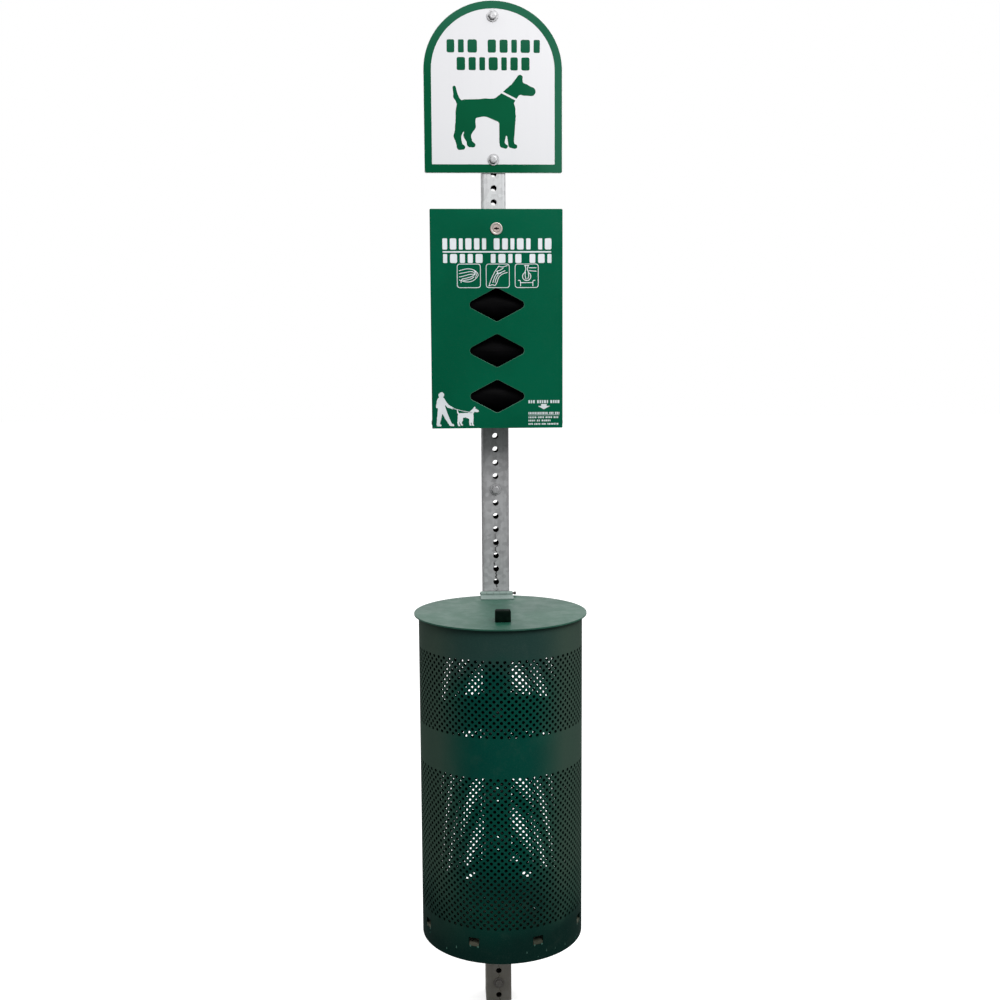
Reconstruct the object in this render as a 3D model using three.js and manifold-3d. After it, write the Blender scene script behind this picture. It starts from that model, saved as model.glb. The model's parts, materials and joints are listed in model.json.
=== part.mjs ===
// Pet waste station: a perforated square post with an arched sign, a lockable three-roll bag dispenser
// and a round can with a hinged lid. Millimetres, +Z up, -Y towards the person using it.

import * as THREE from 'three';
import { mergeVertices } from 'three/addons/utils/BufferGeometryUtils.js';
import Module from 'manifold-3d';

const wasm = await Module();
wasm.setup();

// ---- driving dimensions -------------------------------------------------------------------------------

const INCH = 25.4;
const GAP = 0.2; // between faces that touch in the real object
const SHEET = 1.8;

const LOWER_TUBE = 2 * INCH;
const UPPER_TUBE = 1.75 * INCH;
const TUBE_WALL = 1.9;
const TUBE_HOLE = (7 / 16) * INCH;
const LOWER_TUBE_TOP = 50 * INCH;
const UPPER_TUBE_FOOT = 38 * INCH;
const UPPER_TUBE_TOP = 75 * INCH;
const ANCHOR_TOP = 8 * INCH;

const BOLT_RADIUS = (5 / 32) * INCH;
const BOLT_ACROSS_FLATS = INCH / 2;
const HEAD_HEIGHT = 5.3;
const NUT_HEIGHT = 6.7;
const BOLT_TAIL = 4;
const WASHER_RADIUS = 10.5;
const WASHER_THICKNESS = 1.6;

const SIGN_WIDTH = 10 * INCH;
const SIGN_HEIGHT = 12 * INCH;
const SIGN_BOTTOM = 1614.5;
const SIGN_SPRING = 0.6 * SIGN_HEIGHT;

const DOOR_WIDTH = 236.2;
const DOOR_BOTTOM = 1149.5;
const DOOR_TOP = 1537.5;
const DOOR_DEPTH = 25;
const DISPENSER_DEPTH = 95.3;
const DOOR_PLAY = 0.4; // between the door's flanges and the pan's walls
const OPENING_WIDTH = 114.6; // between the diamond's sharp corners, before rounding
const OPENING_HEIGHT = 60.2;
const OPENING_CORNER = 7.5;
const ROLL_HEIGHTS = { low: 1207, mid: 1288.5, top: 1370 };

const CAN_RADIUS = 146;
const CAN_BOTTOM = 234.5;
const CAN_TOP = 822;
const CAN_SHEET = 1.5;
const CAN_SIDES = 64;
const SLOT_COUNT = 8;
const SLOT_WIDTH = 19.5;
const SLOT_BOTTOM = 263.4;
const SLOT_TOP = 278.8;
const FLOOR_THICKNESS = 4.5;

const LID_RADIUS = 154;
const LID_THICKNESS = 2.5;
const LID_GAP = 0.6;
const BARREL_RADIUS = 4;
const PIN_RADIUS = 2;
const LEAF_WIDTH = 62;
const LEAF_THICKNESS = 2;
const KNUCKLES = 5;

// ---- places worked out from them ------------------------------------------------------------------------

const holeHeight = (count) => (count + 0.5) * INCH; // the post's holes, counted from grade

const LOWER_FACE = LOWER_TUBE / 2;
const UPPER_FACE = UPPER_TUBE / 2;

const PAN_BACK = -LOWER_FACE - 0.3;
const DOOR_FRONT = PAN_BACK - DISPENSER_DEPTH;
const DOOR_BACK = DOOR_FRONT + DOOR_DEPTH;
const PAN_HALF = DOOR_WIDTH / 2 - SHEET - DOOR_PLAY;
const PAN_TOP = DOOR_TOP - SHEET - DOOR_PLAY;
const PAN_BOTTOM = DOOR_BOTTOM + 2;
const PIVOT_Y = DOOR_FRONT + 13;
const PIVOT_Z = DOOR_BOTTOM + 10.5;
const PAN_FRONT = PIVOT_Y - 5;
const PIVOT_RADIUS = 3;

const STRAP_THICKNESS = 3;
const STRAP_FRONT = -LOWER_FACE - 0.3 - STRAP_THICKNESS;
const SADDLE_DEPTH = 6.2;
const CAN_Y = STRAP_FRONT - SADDLE_DEPTH - 0.6 - CAN_RADIUS;
const CAN_INSIDE = CAN_RADIUS - CAN_SHEET;

const LID_BOTTOM = CAN_TOP + LID_GAP;
const LID_TOP = LID_BOTTOM + LID_THICKNESS;
const HINGE_Y = STRAP_FRONT + STRAP_THICKNESS - BARREL_RADIUS;
const HINGE_Z = LID_TOP + 0.3 + BARREL_RADIUS;

const FRONT_EDGE = CAN_Y - LID_RADIUS;
const BACK_EDGE = LOWER_FACE + GAP + NUT_HEIGHT + BOLT_TAIL;

// ---- finishes -------------------------------------------------------------------------------------------

const finish = (color, roughness, metalness) => new THREE.MeshStandardMaterial({ color, roughness, metalness });

const GALVANISED = finish(0x9a9a9c, 0.5, 0.85);
const ZINC = finish(0xb9bbbd, 0.35, 0.9);
const CHROME = finish(0xd0ccd0, 0.15, 1);
const SIGN_PAINT = finish(0xf0f0f3, 0.4, 0);
const DISPENSER_PAINT = finish(0x055c41, 0.45, 0);
const CAN_PAINT = finish(0x0f3a33, 0.5, 0);
const LID_PAINT = finish(0x14463a, 0.35, 0);
const KNOB_PLASTIC = finish(0x111a14, 0.5, 0);
const BAG_FILM = finish(0x101012, 0.3, 0);
const CARD = finish(0x8a6f50, 0.9, 0);

// ---- shapes ---------------------------------------------------------------------------------------------

/** A box between two opposite corners. */
function box(low, high) {
  const size = high.map((value, i) => value - low[i]);
  const middle = high.map((value, i) => (value + low[i]) / 2);
  return new THREE.BoxGeometry(...size).translate(...middle);
}

/** A round bar along Y from y0 to y1, through (x, z). */
function rodY(radius, y0, y1, x = 0, z = 0, sides = 24) {
  return new THREE.CylinderGeometry(radius, radius, y1 - y0, sides).translate(x, (y0 + y1) / 2, z);
}

/** A round bar along X from x0 to x1, through (y, z). */
function rodX(radius, x0, x1, y = 0, z = 0, sides = 24) {
  return rodY(radius, -x1, -x0, 0, 0, sides).rotateZ(Math.PI / 2).translate(0, y, z);
}

/** A round bar along Z from z0 to z1, through (x, y). */
function rodZ(radius, z0, z1, x = 0, y = 0, sides = 24) {
  return rodY(radius, z0, z1, 0, 0, sides).rotateX(Math.PI / 2).translate(x, y, 0);
}

/** A closed outline through corners given anticlockwise, each one rounded to the radius. */
function roundedOutline(corners, radius) {
  const outline = new THREE.Shape();
  corners.forEach((corner, i) => {
    const before = corners.at(i - 1).clone().sub(corner).normalize();
    const after = corners[(i + 1) % corners.length].clone().sub(corner).normalize();
    const inward = before.clone().add(after).normalize();
    const halfAngle = before.angleTo(inward);
    const centre = corner.clone().addScaledVector(inward, radius / Math.sin(halfAngle));
    const towardsCorner = inward.angle() + Math.PI;
    const sweep = Math.PI / 2 - halfAngle;
    outline.absarc(centre.x, centre.y, radius, towardsCorner - sweep, towardsCorner + sweep);
  });
  outline.closePath();
  return outline;
}

/** The four corners of a rectangle of the given half sizes, anticlockwise. */
function rectangle(halfWidth, halfHeight) {
  return [
    new THREE.Vector2(-halfWidth, -halfHeight),
    new THREE.Vector2(halfWidth, -halfHeight),
    new THREE.Vector2(halfWidth, halfHeight),
    new THREE.Vector2(-halfWidth, halfHeight),
  ];
}

/** An outline pulled up along +Z. */
function pulledUp(outline, height, curveSegments = 3) {
  return new THREE.ExtrudeGeometry(outline, { depth: height, bevelEnabled: false, curveSegments });
}

/** An outline drawn in X and Z, made into a plate from y = 0 forward to y = -thickness. */
function uprightPlate(outline, thickness, curveSegments = 3) {
  return pulledUp(outline, thickness, curveSegments).rotateX(Math.PI / 2);
}

// ---- joining and cutting --------------------------------------------------------------------------------

function toManifold(geometry) {
  const bare = geometry.clone();
  bare.deleteAttribute('normal');
  bare.deleteAttribute('uv');
  const merged = mergeVertices(bare, 1e-4);
  return new wasm.Manifold(new wasm.Mesh({
    numProp: 3,
    vertProperties: new Float32Array(merged.attributes.position.array),
    triVerts: new Uint32Array(merged.index.array),
  }));
}

function toGeometry(manifold) {
  const mesh = manifold.getMesh();
  const geometry = new THREE.BufferGeometry();
  geometry.setAttribute('position', new THREE.BufferAttribute(new Float32Array(mesh.vertProperties), 3));
  geometry.setIndex(new THREE.BufferAttribute(new Uint32Array(mesh.triVerts), 1));
  return geometry;
}

function join(...pieces) {
  return toGeometry(pieces.map(toManifold).reduce((sum, piece) => sum.add(piece)));
}

function cut(piece, ...tools) {
  return toGeometry(tools.map(toManifold).reduce((rest, tool) => rest.subtract(tool), toManifold(piece)));
}

function common(first, second) {
  return toGeometry(toManifold(first).intersect(toManifold(second)));
}

// ---- the assembly ---------------------------------------------------------------------------------------

const group = new THREE.Group();
group.name = 'pet_waste_station';
const station = new THREE.Group();
station.name = 'about_the_post';
station.position.y = -(FRONT_EDGE + BACK_EDGE) / 2; // the origin is below the middle of the whole station
group.add(station);

function place(name, geometry, material, x = 0, y = 0, z = 0) {
  const mesh = new THREE.Mesh(geometry, material);
  mesh.name = name;
  mesh.position.set(x, y, z);
  station.add(mesh);
}

// ---- hardware -------------------------------------------------------------------------------------------

function ringY(outer, inner, thickness, sides = 24) {
  return cut(rodY(outer, 0, thickness, 0, 0, sides), rodY(inner, -1, thickness + 1, 0, 0, sides));
}

/** A hex bolt along Y: its head is in front of y = 0 and its shank runs back from there. */
function hexBolt(length) {
  const head = rodY(BOLT_ACROSS_FLATS / Math.sqrt(3), -HEAD_HEIGHT, 0, 0, 0, 6);
  return join(head, rodY(BOLT_RADIUS, -1, length, 0, 0, 12));
}

function hexNut() {
  const blank = rodY(BOLT_ACROSS_FLATS / Math.sqrt(3), 0, NUT_HEIGHT, 0, 0, 6);
  return cut(blank, rodY(BOLT_RADIUS + 0.15, -1, NUT_HEIGHT + 1, 0, 0, 12));
}

/** Bolt, washer and nut at one height, clamping everything between two faces. */
function fastener(prefix, suffix, height, frontFace, backFace) {
  const washerY = frontFace - GAP - WASHER_THICKNESS;
  const headY = washerY - GAP;
  const nutY = backFace + GAP;
  place(`${prefix}_bolt${suffix}`, hexBolt(nutY + NUT_HEIGHT + BOLT_TAIL - headY), ZINC, 0, headY, height);
  place(`${prefix}_washer${suffix}`, ringY(WASHER_RADIUS, BOLT_RADIUS + 0.3, WASHER_THICKNESS, 20), ZINC, 0,
    washerY, height);
  place(`${prefix}_nut${suffix}`, hexNut(), ZINC, 0, nutY, height);
}

// ---- post -----------------------------------------------------------------------------------------------

const ANCHOR_HOLE = 1;
const SPLICE_HOLE = 40;
const CAN_HOLES = { low: 23, top: 31 };
const DISPENSER_HOLES = { low: 46, top: 58 };
const SIGN_HOLES = { low: 64, top: 74 };

/** A square tube standing from one height to another, drilled front to back at the numbered holes. */
function squareTube(size, foot, top, holes) {
  const outline = roundedOutline(rectangle(size / 2, size / 2), 4);
  const inside = size / 2 - TUBE_WALL;
  outline.holes.push(roundedOutline(rectangle(inside, inside), 2.5));
  const tube = pulledUp(outline, top - foot).translate(0, 0, foot);
  const drills = holes.map((hole) => rodY(TUBE_HOLE / 2, -size, size, 0, holeHeight(hole), 16));
  return cut(tube, ...drills);
}

function buildPost() {
  const lowerHoles = [ANCHOR_HOLE, CAN_HOLES.low, CAN_HOLES.top, SPLICE_HOLE, DISPENSER_HOLES.low];
  const upperHoles = [SPLICE_HOLE, DISPENSER_HOLES.low, DISPENSER_HOLES.top, SIGN_HOLES.low, SIGN_HOLES.top];
  place('post_lower', squareTube(LOWER_TUBE, 0, LOWER_TUBE_TOP, lowerHoles), GALVANISED);
  place('post_upper', squareTube(UPPER_TUBE, UPPER_TUBE_FOOT, UPPER_TUBE_TOP, upperHoles), GALVANISED);
  place('ground_anchor', squareTube(UPPER_TUBE, 0, ANCHOR_TOP, [ANCHOR_HOLE]), GALVANISED);
  fastener('anchor', '', holeHeight(ANCHOR_HOLE), -LOWER_FACE, LOWER_FACE);
  fastener('splice', '', holeHeight(SPLICE_HOLE), -LOWER_FACE, LOWER_FACE);
}

// ---- sign -----------------------------------------------------------------------------------------------

function signOutline() {
  const half = SIGN_WIDTH / 2;
  const corner = 6;
  const outline = new THREE.Shape();
  outline.moveTo(-half, SIGN_SPRING);
  outline.lineTo(-half, corner);
  outline.quadraticCurveTo(-half, 0, -half + corner, 0);
  outline.lineTo(half - corner, 0);
  outline.quadraticCurveTo(half, 0, half, corner);
  outline.lineTo(half, SIGN_SPRING);
  outline.absellipse(0, SIGN_SPRING, half, SIGN_HEIGHT - SIGN_SPRING, 0, Math.PI, false, 0);
  return outline;
}

function buildSign() {
  const back = -UPPER_FACE - 0.3;
  const thickness = 2;
  const heights = Object.values(SIGN_HOLES).map(holeHeight);
  const drills = heights.map((height) => rodY(4.4, -9, 9, 0, height - SIGN_BOTTOM, 16));
  place('sign_panel', cut(uprightPlate(signOutline(), thickness, 12), ...drills), SIGN_PAINT, 0, back, SIGN_BOTTOM);
  for (const [level, hole] of Object.entries(SIGN_HOLES)) {
    fastener('sign', `_${level}`, holeHeight(hole), back - thickness, UPPER_FACE);
  }
}

// ---- dispenser ------------------------------------------------------------------------------------------

const SPINDLE_RADIUS = 9;
const ROLL_Y = (PAN_FRONT + PAN_BACK) / 2 - 10;
const LOCK_Z = 1502.7;
const LOCK_RADIUS = 11;
const SLEEVE_RADIUS = 9.2;
const PLUG_RADIUS = 6.5;
const SLEEVE_END = DOOR_FRONT + 20;
const CAM_FRONT = SLEEVE_END + 2.6;
const CAM_THICKNESS = 2.5;
const CAM_REACH = 24;
const CATCH_THICKNESS = 2;
const CATCH_BACK = CAM_FRONT - 1.5;
const CATCH_Y = CATCH_BACK + 12;

/** The open-fronted box that carries the rolls, bolted to the post. */
function panGeometry() {
  const outside = box([-PAN_HALF, PAN_FRONT, PAN_BOTTOM], [PAN_HALF, PAN_BACK, PAN_TOP]);
  const wide = PAN_HALF - SHEET;
  const inside = box([-wide, PAN_FRONT - 9, PAN_BOTTOM + SHEET], [wide, PAN_BACK - SHEET, PAN_TOP - SHEET]);
  const spindleHoles = Object.values(ROLL_HEIGHTS).map((height) =>
    rodX(SPINDLE_RADIUS + 0.2, -DOOR_WIDTH, DOOR_WIDTH, ROLL_Y, height));
  const boltHoles = Object.values(DISPENSER_HOLES).map((hole) => rodY(4.4, -60, 0, 0, holeHeight(hole), 16));
  const pivotHole = rodX(PIVOT_RADIUS + 0.06, -DOOR_WIDTH, DOOR_WIDTH, PIVOT_Y, PIVOT_Z);
  const catchHole = rodZ(2.2, PAN_TOP - 9, PAN_TOP + 9, 0, CATCH_Y, 16);
  return cut(outside, inside, ...spindleHoles, ...boltHoles, pivotHole, catchHole);
}

function diamond(height) {
  const corners = [
    new THREE.Vector2(-OPENING_WIDTH / 2, height),
    new THREE.Vector2(0, height - OPENING_HEIGHT / 2),
    new THREE.Vector2(OPENING_WIDTH / 2, height),
    new THREE.Vector2(0, height + OPENING_HEIGHT / 2),
  ];
  return uprightPlate(roundedOutline(corners, OPENING_CORNER), 40, 6).translate(0, DOOR_FRONT + 20, 0);
}

/** The front door: a plate with flanges at the top and both sides, open at the bottom. */
function doorGeometry() {
  const half = DOOR_WIDTH / 2;
  const outside = box([-half, DOOR_FRONT, DOOR_BOTTOM], [half, DOOR_BACK, DOOR_TOP]);
  const wide = half - SHEET;
  const inside = box([-wide, DOOR_FRONT + SHEET, DOOR_BOTTOM - 9], [wide, DOOR_BACK + 9, DOOR_TOP - SHEET]);
  const openings = Object.values(ROLL_HEIGHTS).map(diamond);
  const lockHole = rodY(SLEEVE_RADIUS + 0.3, DOOR_FRONT - 9, DOOR_FRONT + 9, 0, LOCK_Z);
  const pivotHole = rodX(PIVOT_RADIUS + 0.06, -DOOR_WIDTH, DOOR_WIDTH, PIVOT_Y, PIVOT_Z);
  return cut(outside, inside, ...openings, lockHole, pivotHole);
}

/** A rivet through one door flange and the pan wall beside it; side is -1 for left and 1 for right. */
function pivotRivet(side) {
  const inner = PAN_HALF - SHEET - GAP;
  const outer = DOOR_WIDTH / 2 + GAP;
  const span = (x0, x1) => [Math.min(side * x0, side * x1), Math.max(side * x0, side * x1)];
  return join(
    rodX(PIVOT_RADIUS, ...span(inner - 1, outer + 1)),
    rodX(5, ...span(inner - 2, inner)),
    rodX(5, ...span(outer, outer + 1.2)),
  );
}

function buildLock() {
  const flangeFront = DOOR_FRONT - GAP - 2.4;
  const barrel = join(
    rodY(LOCK_RADIUS, flangeFront, DOOR_FRONT - GAP),
    rodY(SLEEVE_RADIUS, flangeFront + 1, SLEEVE_END),
  );
  const bore = rodY(PLUG_RADIUS + 0.1, flangeFront - 9, SLEEVE_END + 9);
  place('lock_barrel', cut(barrel, bore), CHROME, 0, 0, LOCK_Z);

  const plug = rodY(PLUG_RADIUS, flangeFront - 0.4, CAM_FRONT - GAP);
  const keyway = box([-4, flangeFront - 2, -0.9], [4, flangeFront + 6, 0.9]);
  const screwHole = rodY(2.7, CAM_FRONT - 9, CAM_FRONT + 9, 0, 0, 12);
  place('lock_plug', cut(plug, keyway, screwHole), CHROME, 0, 0, LOCK_Z);

  const nutFront = DOOR_FRONT + SHEET + GAP;
  const nut = cut(rodY(13.9, nutFront, nutFront + 5, 0, 0, 6), rodY(SLEEVE_RADIUS + 0.3, nutFront - 9, nutFront + 9));
  place('lock_nut', nut, ZINC, 0, 0, LOCK_Z);

  const camOutline = roundedOutline(rectangle((CAM_REACH + 7) / 2, 6), 4);
  const cam = uprightPlate(camOutline, CAM_THICKNESS).translate(-(CAM_REACH - 7) / 2, CAM_FRONT + CAM_THICKNESS, 0);
  place('lock_cam', cut(cam, screwHole), ZINC, 0, 0, LOCK_Z);

  const screwHead = rodY(5, CAM_FRONT + CAM_THICKNESS + GAP, CAM_FRONT + CAM_THICKNESS + 3, 0, 0, 16);
  const screwShank = rodY(2.4, CAM_FRONT - 7, CAM_FRONT + CAM_THICKNESS + 1, 0, 0, 12);
  place('cam_screw', join(screwHead, screwShank), ZINC, 0, 0, LOCK_Z);
}

/** The bracket under the pan's top wall that the turned cam hides behind. */
function buildCatch() {
  const under = PAN_TOP - SHEET - GAP;
  const shelf = box([-12, CATCH_BACK - CATCH_THICKNESS, under - CATCH_THICKNESS], [12, CATCH_Y + 8, under]);
  const lip = box([-12, CATCH_BACK - CATCH_THICKNESS, LOCK_Z + 12], [12, CATCH_BACK, under]);
  const hole = rodZ(2.2, under - 9, under + 9, 0, CATCH_Y, 16);
  place('lock_catch', cut(join(shelf, lip), hole), ZINC);
  const rivet = join(
    rodZ(2, under - CATCH_THICKNESS - 1, PAN_TOP + 1, 0, CATCH_Y, 16),
    rodZ(4, PAN_TOP + GAP, PAN_TOP + 1.5, 0, CATCH_Y, 16),
    rodZ(4, under - CATCH_THICKNESS - 1.5, under - CATCH_THICKNESS - GAP, 0, CATCH_Y, 16),
  );
  place('catch_rivet', rivet, ZINC);
}

/** One roll of bags on its card core, and the spindle that runs through it from wall to wall. */
function buildRoll(level, height) {
  const rollHalf = 100;
  const coreInside = SPINDLE_RADIUS + 0.4;
  const coreOutside = coreInside + 2;
  const hollow = (outer, inner, half) => cut(rodX(outer, -half, half), rodX(inner, -half - 1, half + 1));
  place(`bag_roll_${level}`, hollow(29, coreOutside + 0.3, rollHalf), BAG_FILM, 0, ROLL_Y, height);
  place(`roll_core_${level}`, hollow(coreOutside, coreInside, rollHalf + 5), CARD, 0, ROLL_Y, height);
  place(`roll_spindle_${level}`, rodX(SPINDLE_RADIUS, -PAN_HALF, PAN_HALF), ZINC, 0, ROLL_Y, height);
}

function buildDispenser() {
  place('dispenser_pan', panGeometry(), DISPENSER_PAINT);
  place('dispenser_door', doorGeometry(), DISPENSER_PAINT);
  place('door_pivot_left', pivotRivet(-1), ZINC, 0, PIVOT_Y, PIVOT_Z);
  place('door_pivot_right', pivotRivet(1), ZINC, 0, PIVOT_Y, PIVOT_Z);
  buildLock();
  buildCatch();
  for (const [level, height] of Object.entries(ROLL_HEIGHTS)) buildRoll(level, height);

  const panInside = PAN_BACK - SHEET;
  fastener('dispenser', '_low', holeHeight(DISPENSER_HOLES.low), panInside, LOWER_FACE);
  fastener('dispenser', '_top', holeHeight(DISPENSER_HOLES.top), panInside, UPPER_FACE);
  const spacer = ringY(12, 4.4, UPPER_FACE * -1 - PAN_BACK - 2 * GAP);
  place('dispenser_spacer', spacer, ZINC, 0, PAN_BACK + GAP, holeHeight(DISPENSER_HOLES.top));
}

// ---- can ------------------------------------------------------------------------------------------------

/** One copy of a shape drawn along +X for each tab slot round the can. */
function roundTheCan(geometry) {
  return Array.from({ length: SLOT_COUNT }, (_, i) =>
    geometry.clone().rotateZ(((i + 0.5) / SLOT_COUNT) * 2 * Math.PI));
}

/** A round upright tube or disc about the can's own axis. */
const canRod = (radius, z0, z1) => rodZ(radius, z0, z1, 0, 0, CAN_SIDES);

function shellGeometry() {
  const tube = cut(canRod(CAN_RADIUS, CAN_BOTTOM, CAN_TOP), canRod(CAN_INSIDE, CAN_BOTTOM - 9, CAN_TOP + 9));
  const slot = box([CAN_INSIDE - 9, -SLOT_WIDTH / 2, SLOT_BOTTOM], [CAN_RADIUS + 9, SLOT_WIDTH / 2, SLOT_TOP]);
  const boltHoles = Object.values(CAN_HOLES).map((hole) =>
    rodY(4.4, CAN_INSIDE - 9, CAN_RADIUS + 9, 0, holeHeight(hole), 16));
  return cut(tube, ...roundTheCan(slot), ...boltHoles);
}

function floorGeometry() {
  const foot = SLOT_BOTTOM + GAP;
  const disc = canRod(CAN_INSIDE - 0.6, foot, foot + FLOOR_THICKNESS);
  const tab = box([CAN_INSIDE / 2, -SLOT_WIDTH / 2 + 1, foot], [CAN_RADIUS - 0.4, SLOT_WIDTH / 2 - 1,
    foot + FLOOR_THICKNESS]);
  return join(disc, ...roundTheCan(tab));
}

/** A block that fills the space between the round shell and the flat strap behind it. */
function saddleGeometry(height) {
  const block = box([-22, STRAP_FRONT - GAP - 8, height - 15], [22, STRAP_FRONT - GAP, height + 15]);
  const hollow = canRod(CAN_RADIUS + 0.3, height - 20, height + 20).translate(0, CAN_Y, 0);
  return cut(block, hollow, rodY(4.4, -60, 0, 0, height, 16));
}

function buildCan() {
  place('can_shell', shellGeometry(), CAN_PAINT, 0, CAN_Y, 0);
  place('can_floor', floorGeometry(), CAN_PAINT, 0, CAN_Y, 0);
  const washerSeat = CAN_Y + Math.sqrt(CAN_INSIDE ** 2 - WASHER_RADIUS ** 2) - 0.3;
  for (const [level, hole] of Object.entries(CAN_HOLES)) {
    place(`can_saddle_${level}`, saddleGeometry(holeHeight(hole)), CAN_PAINT);
    fastener('can', `_${level}`, holeHeight(hole), washerSeat, LOWER_FACE);
  }
}

// ---- lid and its hinge ----------------------------------------------------------------------------------

/** Knuckles along the hinge line, either the even ones (lid leaf) or the odd ones (strap). */
function knuckles(first) {
  const pitch = LEAF_WIDTH / KNUCKLES;
  const rods = [];
  for (let i = first; i < KNUCKLES; i += 2) {
    const start = -LEAF_WIDTH / 2 + i * pitch;
    rods.push([start + 0.25, start + pitch - 0.25]);
  }
  return rods;
}

const pinHole = () => rodX(PIN_RADIUS + 0.06, -LEAF_WIDTH, LEAF_WIDTH);

/** The leaf on the lid: a plate ending in knuckles, about the hinge line. */
function leafGeometry() {
  const depth = 43;
  const plate = box(
    [-LEAF_WIDTH / 2, -depth, -BARREL_RADIUS],
    [LEAF_WIDTH / 2, -BARREL_RADIUS - 0.5, LEAF_THICKNESS - BARREL_RADIUS],
  );
  const arms = knuckles(0).map(([x0, x1]) =>
    box([x0, -BARREL_RADIUS - 1, -BARREL_RADIUS], [x1, 0, LEAF_THICKNESS - BARREL_RADIUS]));
  const barrels = knuckles(0).map(([x0, x1]) => rodX(BARREL_RADIUS, x0, x1));
  return cut(join(plate, ...arms, ...barrels), pinHole());
}

/** The strap behind the can, about the hinge line; its top end is rolled into the other knuckles. */
function strapGeometry() {
  const foot = holeHeight(CAN_HOLES.low) - 25 - HINGE_Z;
  const back = BARREL_RADIUS;
  const front = BARREL_RADIUS - STRAP_THICKNESS;
  const plate = box([-INCH, front, foot], [INCH, back, -BARREL_RADIUS - 0.5]);
  const arms = knuckles(1).map(([x0, x1]) => box([x0, front, -BARREL_RADIUS - 1], [x1, back, 0]));
  const barrels = knuckles(1).map(([x0, x1]) => rodX(BARREL_RADIUS, x0, x1));
  const boltHoles = Object.values(CAN_HOLES).map((hole) => rodY(4.4, -9, 9, 0, holeHeight(hole) - HINGE_Z, 16));
  return cut(join(plate, ...arms, ...barrels), pinHole(), ...boltHoles);
}

function hingePin() {
  const end = LEAF_WIDTH / 2;
  return join(rodX(PIN_RADIUS, -end - 1, end + 5), rodX(PIN_RADIUS + 1, end + 3, end + 6.5));
}

const KNOB_FRONT = -278.5;
const KNOB_DEPTH = 16;
const KNOB_WIDTH = 27.4;
const KNOB_HEIGHT = 20.5;

/** The flat round lid, cut straight along the hinge line at the back. */
function lidGeometry() {
  const disc = canRod(LID_RADIUS, 0, LID_THICKNESS);
  const kept = box([-LID_RADIUS - 9, -LID_RADIUS - 9, -9], [LID_RADIUS + 9, HINGE_Y - 0.5 - CAN_Y, 9]);
  const screwHole = rodZ(2.7, -9, 9, 0, KNOB_FRONT + KNOB_DEPTH / 2 - CAN_Y, 16);
  return cut(common(disc, kept), screwHole);
}

function knobGeometry() {
  const block = pulledUp(roundedOutline(rectangle(KNOB_WIDTH / 2, KNOB_DEPTH / 2), 2), KNOB_HEIGHT);
  return cut(block, rodZ(2.7, -9, KNOB_HEIGHT - 5, 0, 0, 12));
}

function buildLid() {
  place('can_lid', lidGeometry(), LID_PAINT, 0, CAN_Y, LID_BOTTOM);
  place('lid_leaf', leafGeometry(), LID_PAINT, 0, HINGE_Y, HINGE_Z);
  place('hinge_strap', strapGeometry(), LID_PAINT, 0, HINGE_Y, HINGE_Z);
  place('hinge_pin', hingePin(), ZINC, 0, HINGE_Y, HINGE_Z);
  const knobY = KNOB_FRONT + KNOB_DEPTH / 2;
  place('lid_knob', knobGeometry(), KNOB_PLASTIC, 0, knobY, LID_TOP + GAP);
  const screw = join(rodZ(2.4, -1, LID_THICKNESS + 10, 0, 0, 12), rodZ(4.5, -2.4, -GAP, 0, 0, 16));
  place('knob_screw', screw, ZINC, 0, knobY, LID_BOTTOM);
}

buildPost();
buildSign();
buildDispenser();
buildCan();
buildLid();

export default group;
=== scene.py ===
"""Looks for the pet waste station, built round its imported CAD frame. Metres, +Z up, -Y towards the front."""

import json
import math
import random

import bmesh
import bpy
import numpy as np
from mathutils import Matrix, Vector, geometry

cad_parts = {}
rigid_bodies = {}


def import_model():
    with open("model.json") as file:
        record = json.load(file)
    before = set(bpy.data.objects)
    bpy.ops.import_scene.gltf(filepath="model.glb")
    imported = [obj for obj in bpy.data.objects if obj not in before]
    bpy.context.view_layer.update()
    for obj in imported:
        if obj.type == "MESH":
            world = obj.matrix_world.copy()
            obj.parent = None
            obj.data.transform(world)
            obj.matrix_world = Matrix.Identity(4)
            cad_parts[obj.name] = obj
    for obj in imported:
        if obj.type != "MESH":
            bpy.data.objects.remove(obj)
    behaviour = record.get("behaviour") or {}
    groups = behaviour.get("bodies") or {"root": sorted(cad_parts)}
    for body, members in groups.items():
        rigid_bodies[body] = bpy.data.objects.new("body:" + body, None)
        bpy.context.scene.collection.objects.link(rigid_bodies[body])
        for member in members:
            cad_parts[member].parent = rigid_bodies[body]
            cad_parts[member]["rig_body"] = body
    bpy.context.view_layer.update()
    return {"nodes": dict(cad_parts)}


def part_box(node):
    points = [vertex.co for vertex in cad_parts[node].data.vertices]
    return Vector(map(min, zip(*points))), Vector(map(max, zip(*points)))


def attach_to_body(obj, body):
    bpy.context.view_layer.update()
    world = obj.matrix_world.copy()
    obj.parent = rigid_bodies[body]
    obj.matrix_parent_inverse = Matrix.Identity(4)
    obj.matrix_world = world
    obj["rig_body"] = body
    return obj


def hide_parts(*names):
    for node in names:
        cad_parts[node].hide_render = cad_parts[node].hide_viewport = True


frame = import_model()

MM = 0.001
FULL_TURN = 2 * math.pi
LEVELS = ("low", "mid", "top")
ENDS = ("low", "top")
ALONG_X, ALONG_Y, ALONG_Z = (1, 0, 0), (0, 1, 0), (0, 0, 1)


# ---- places, all taken from the frame ----


def centre(node):
    """The middle of a CAD node's box."""
    low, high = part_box(node)
    return (low + high) / 2


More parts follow.
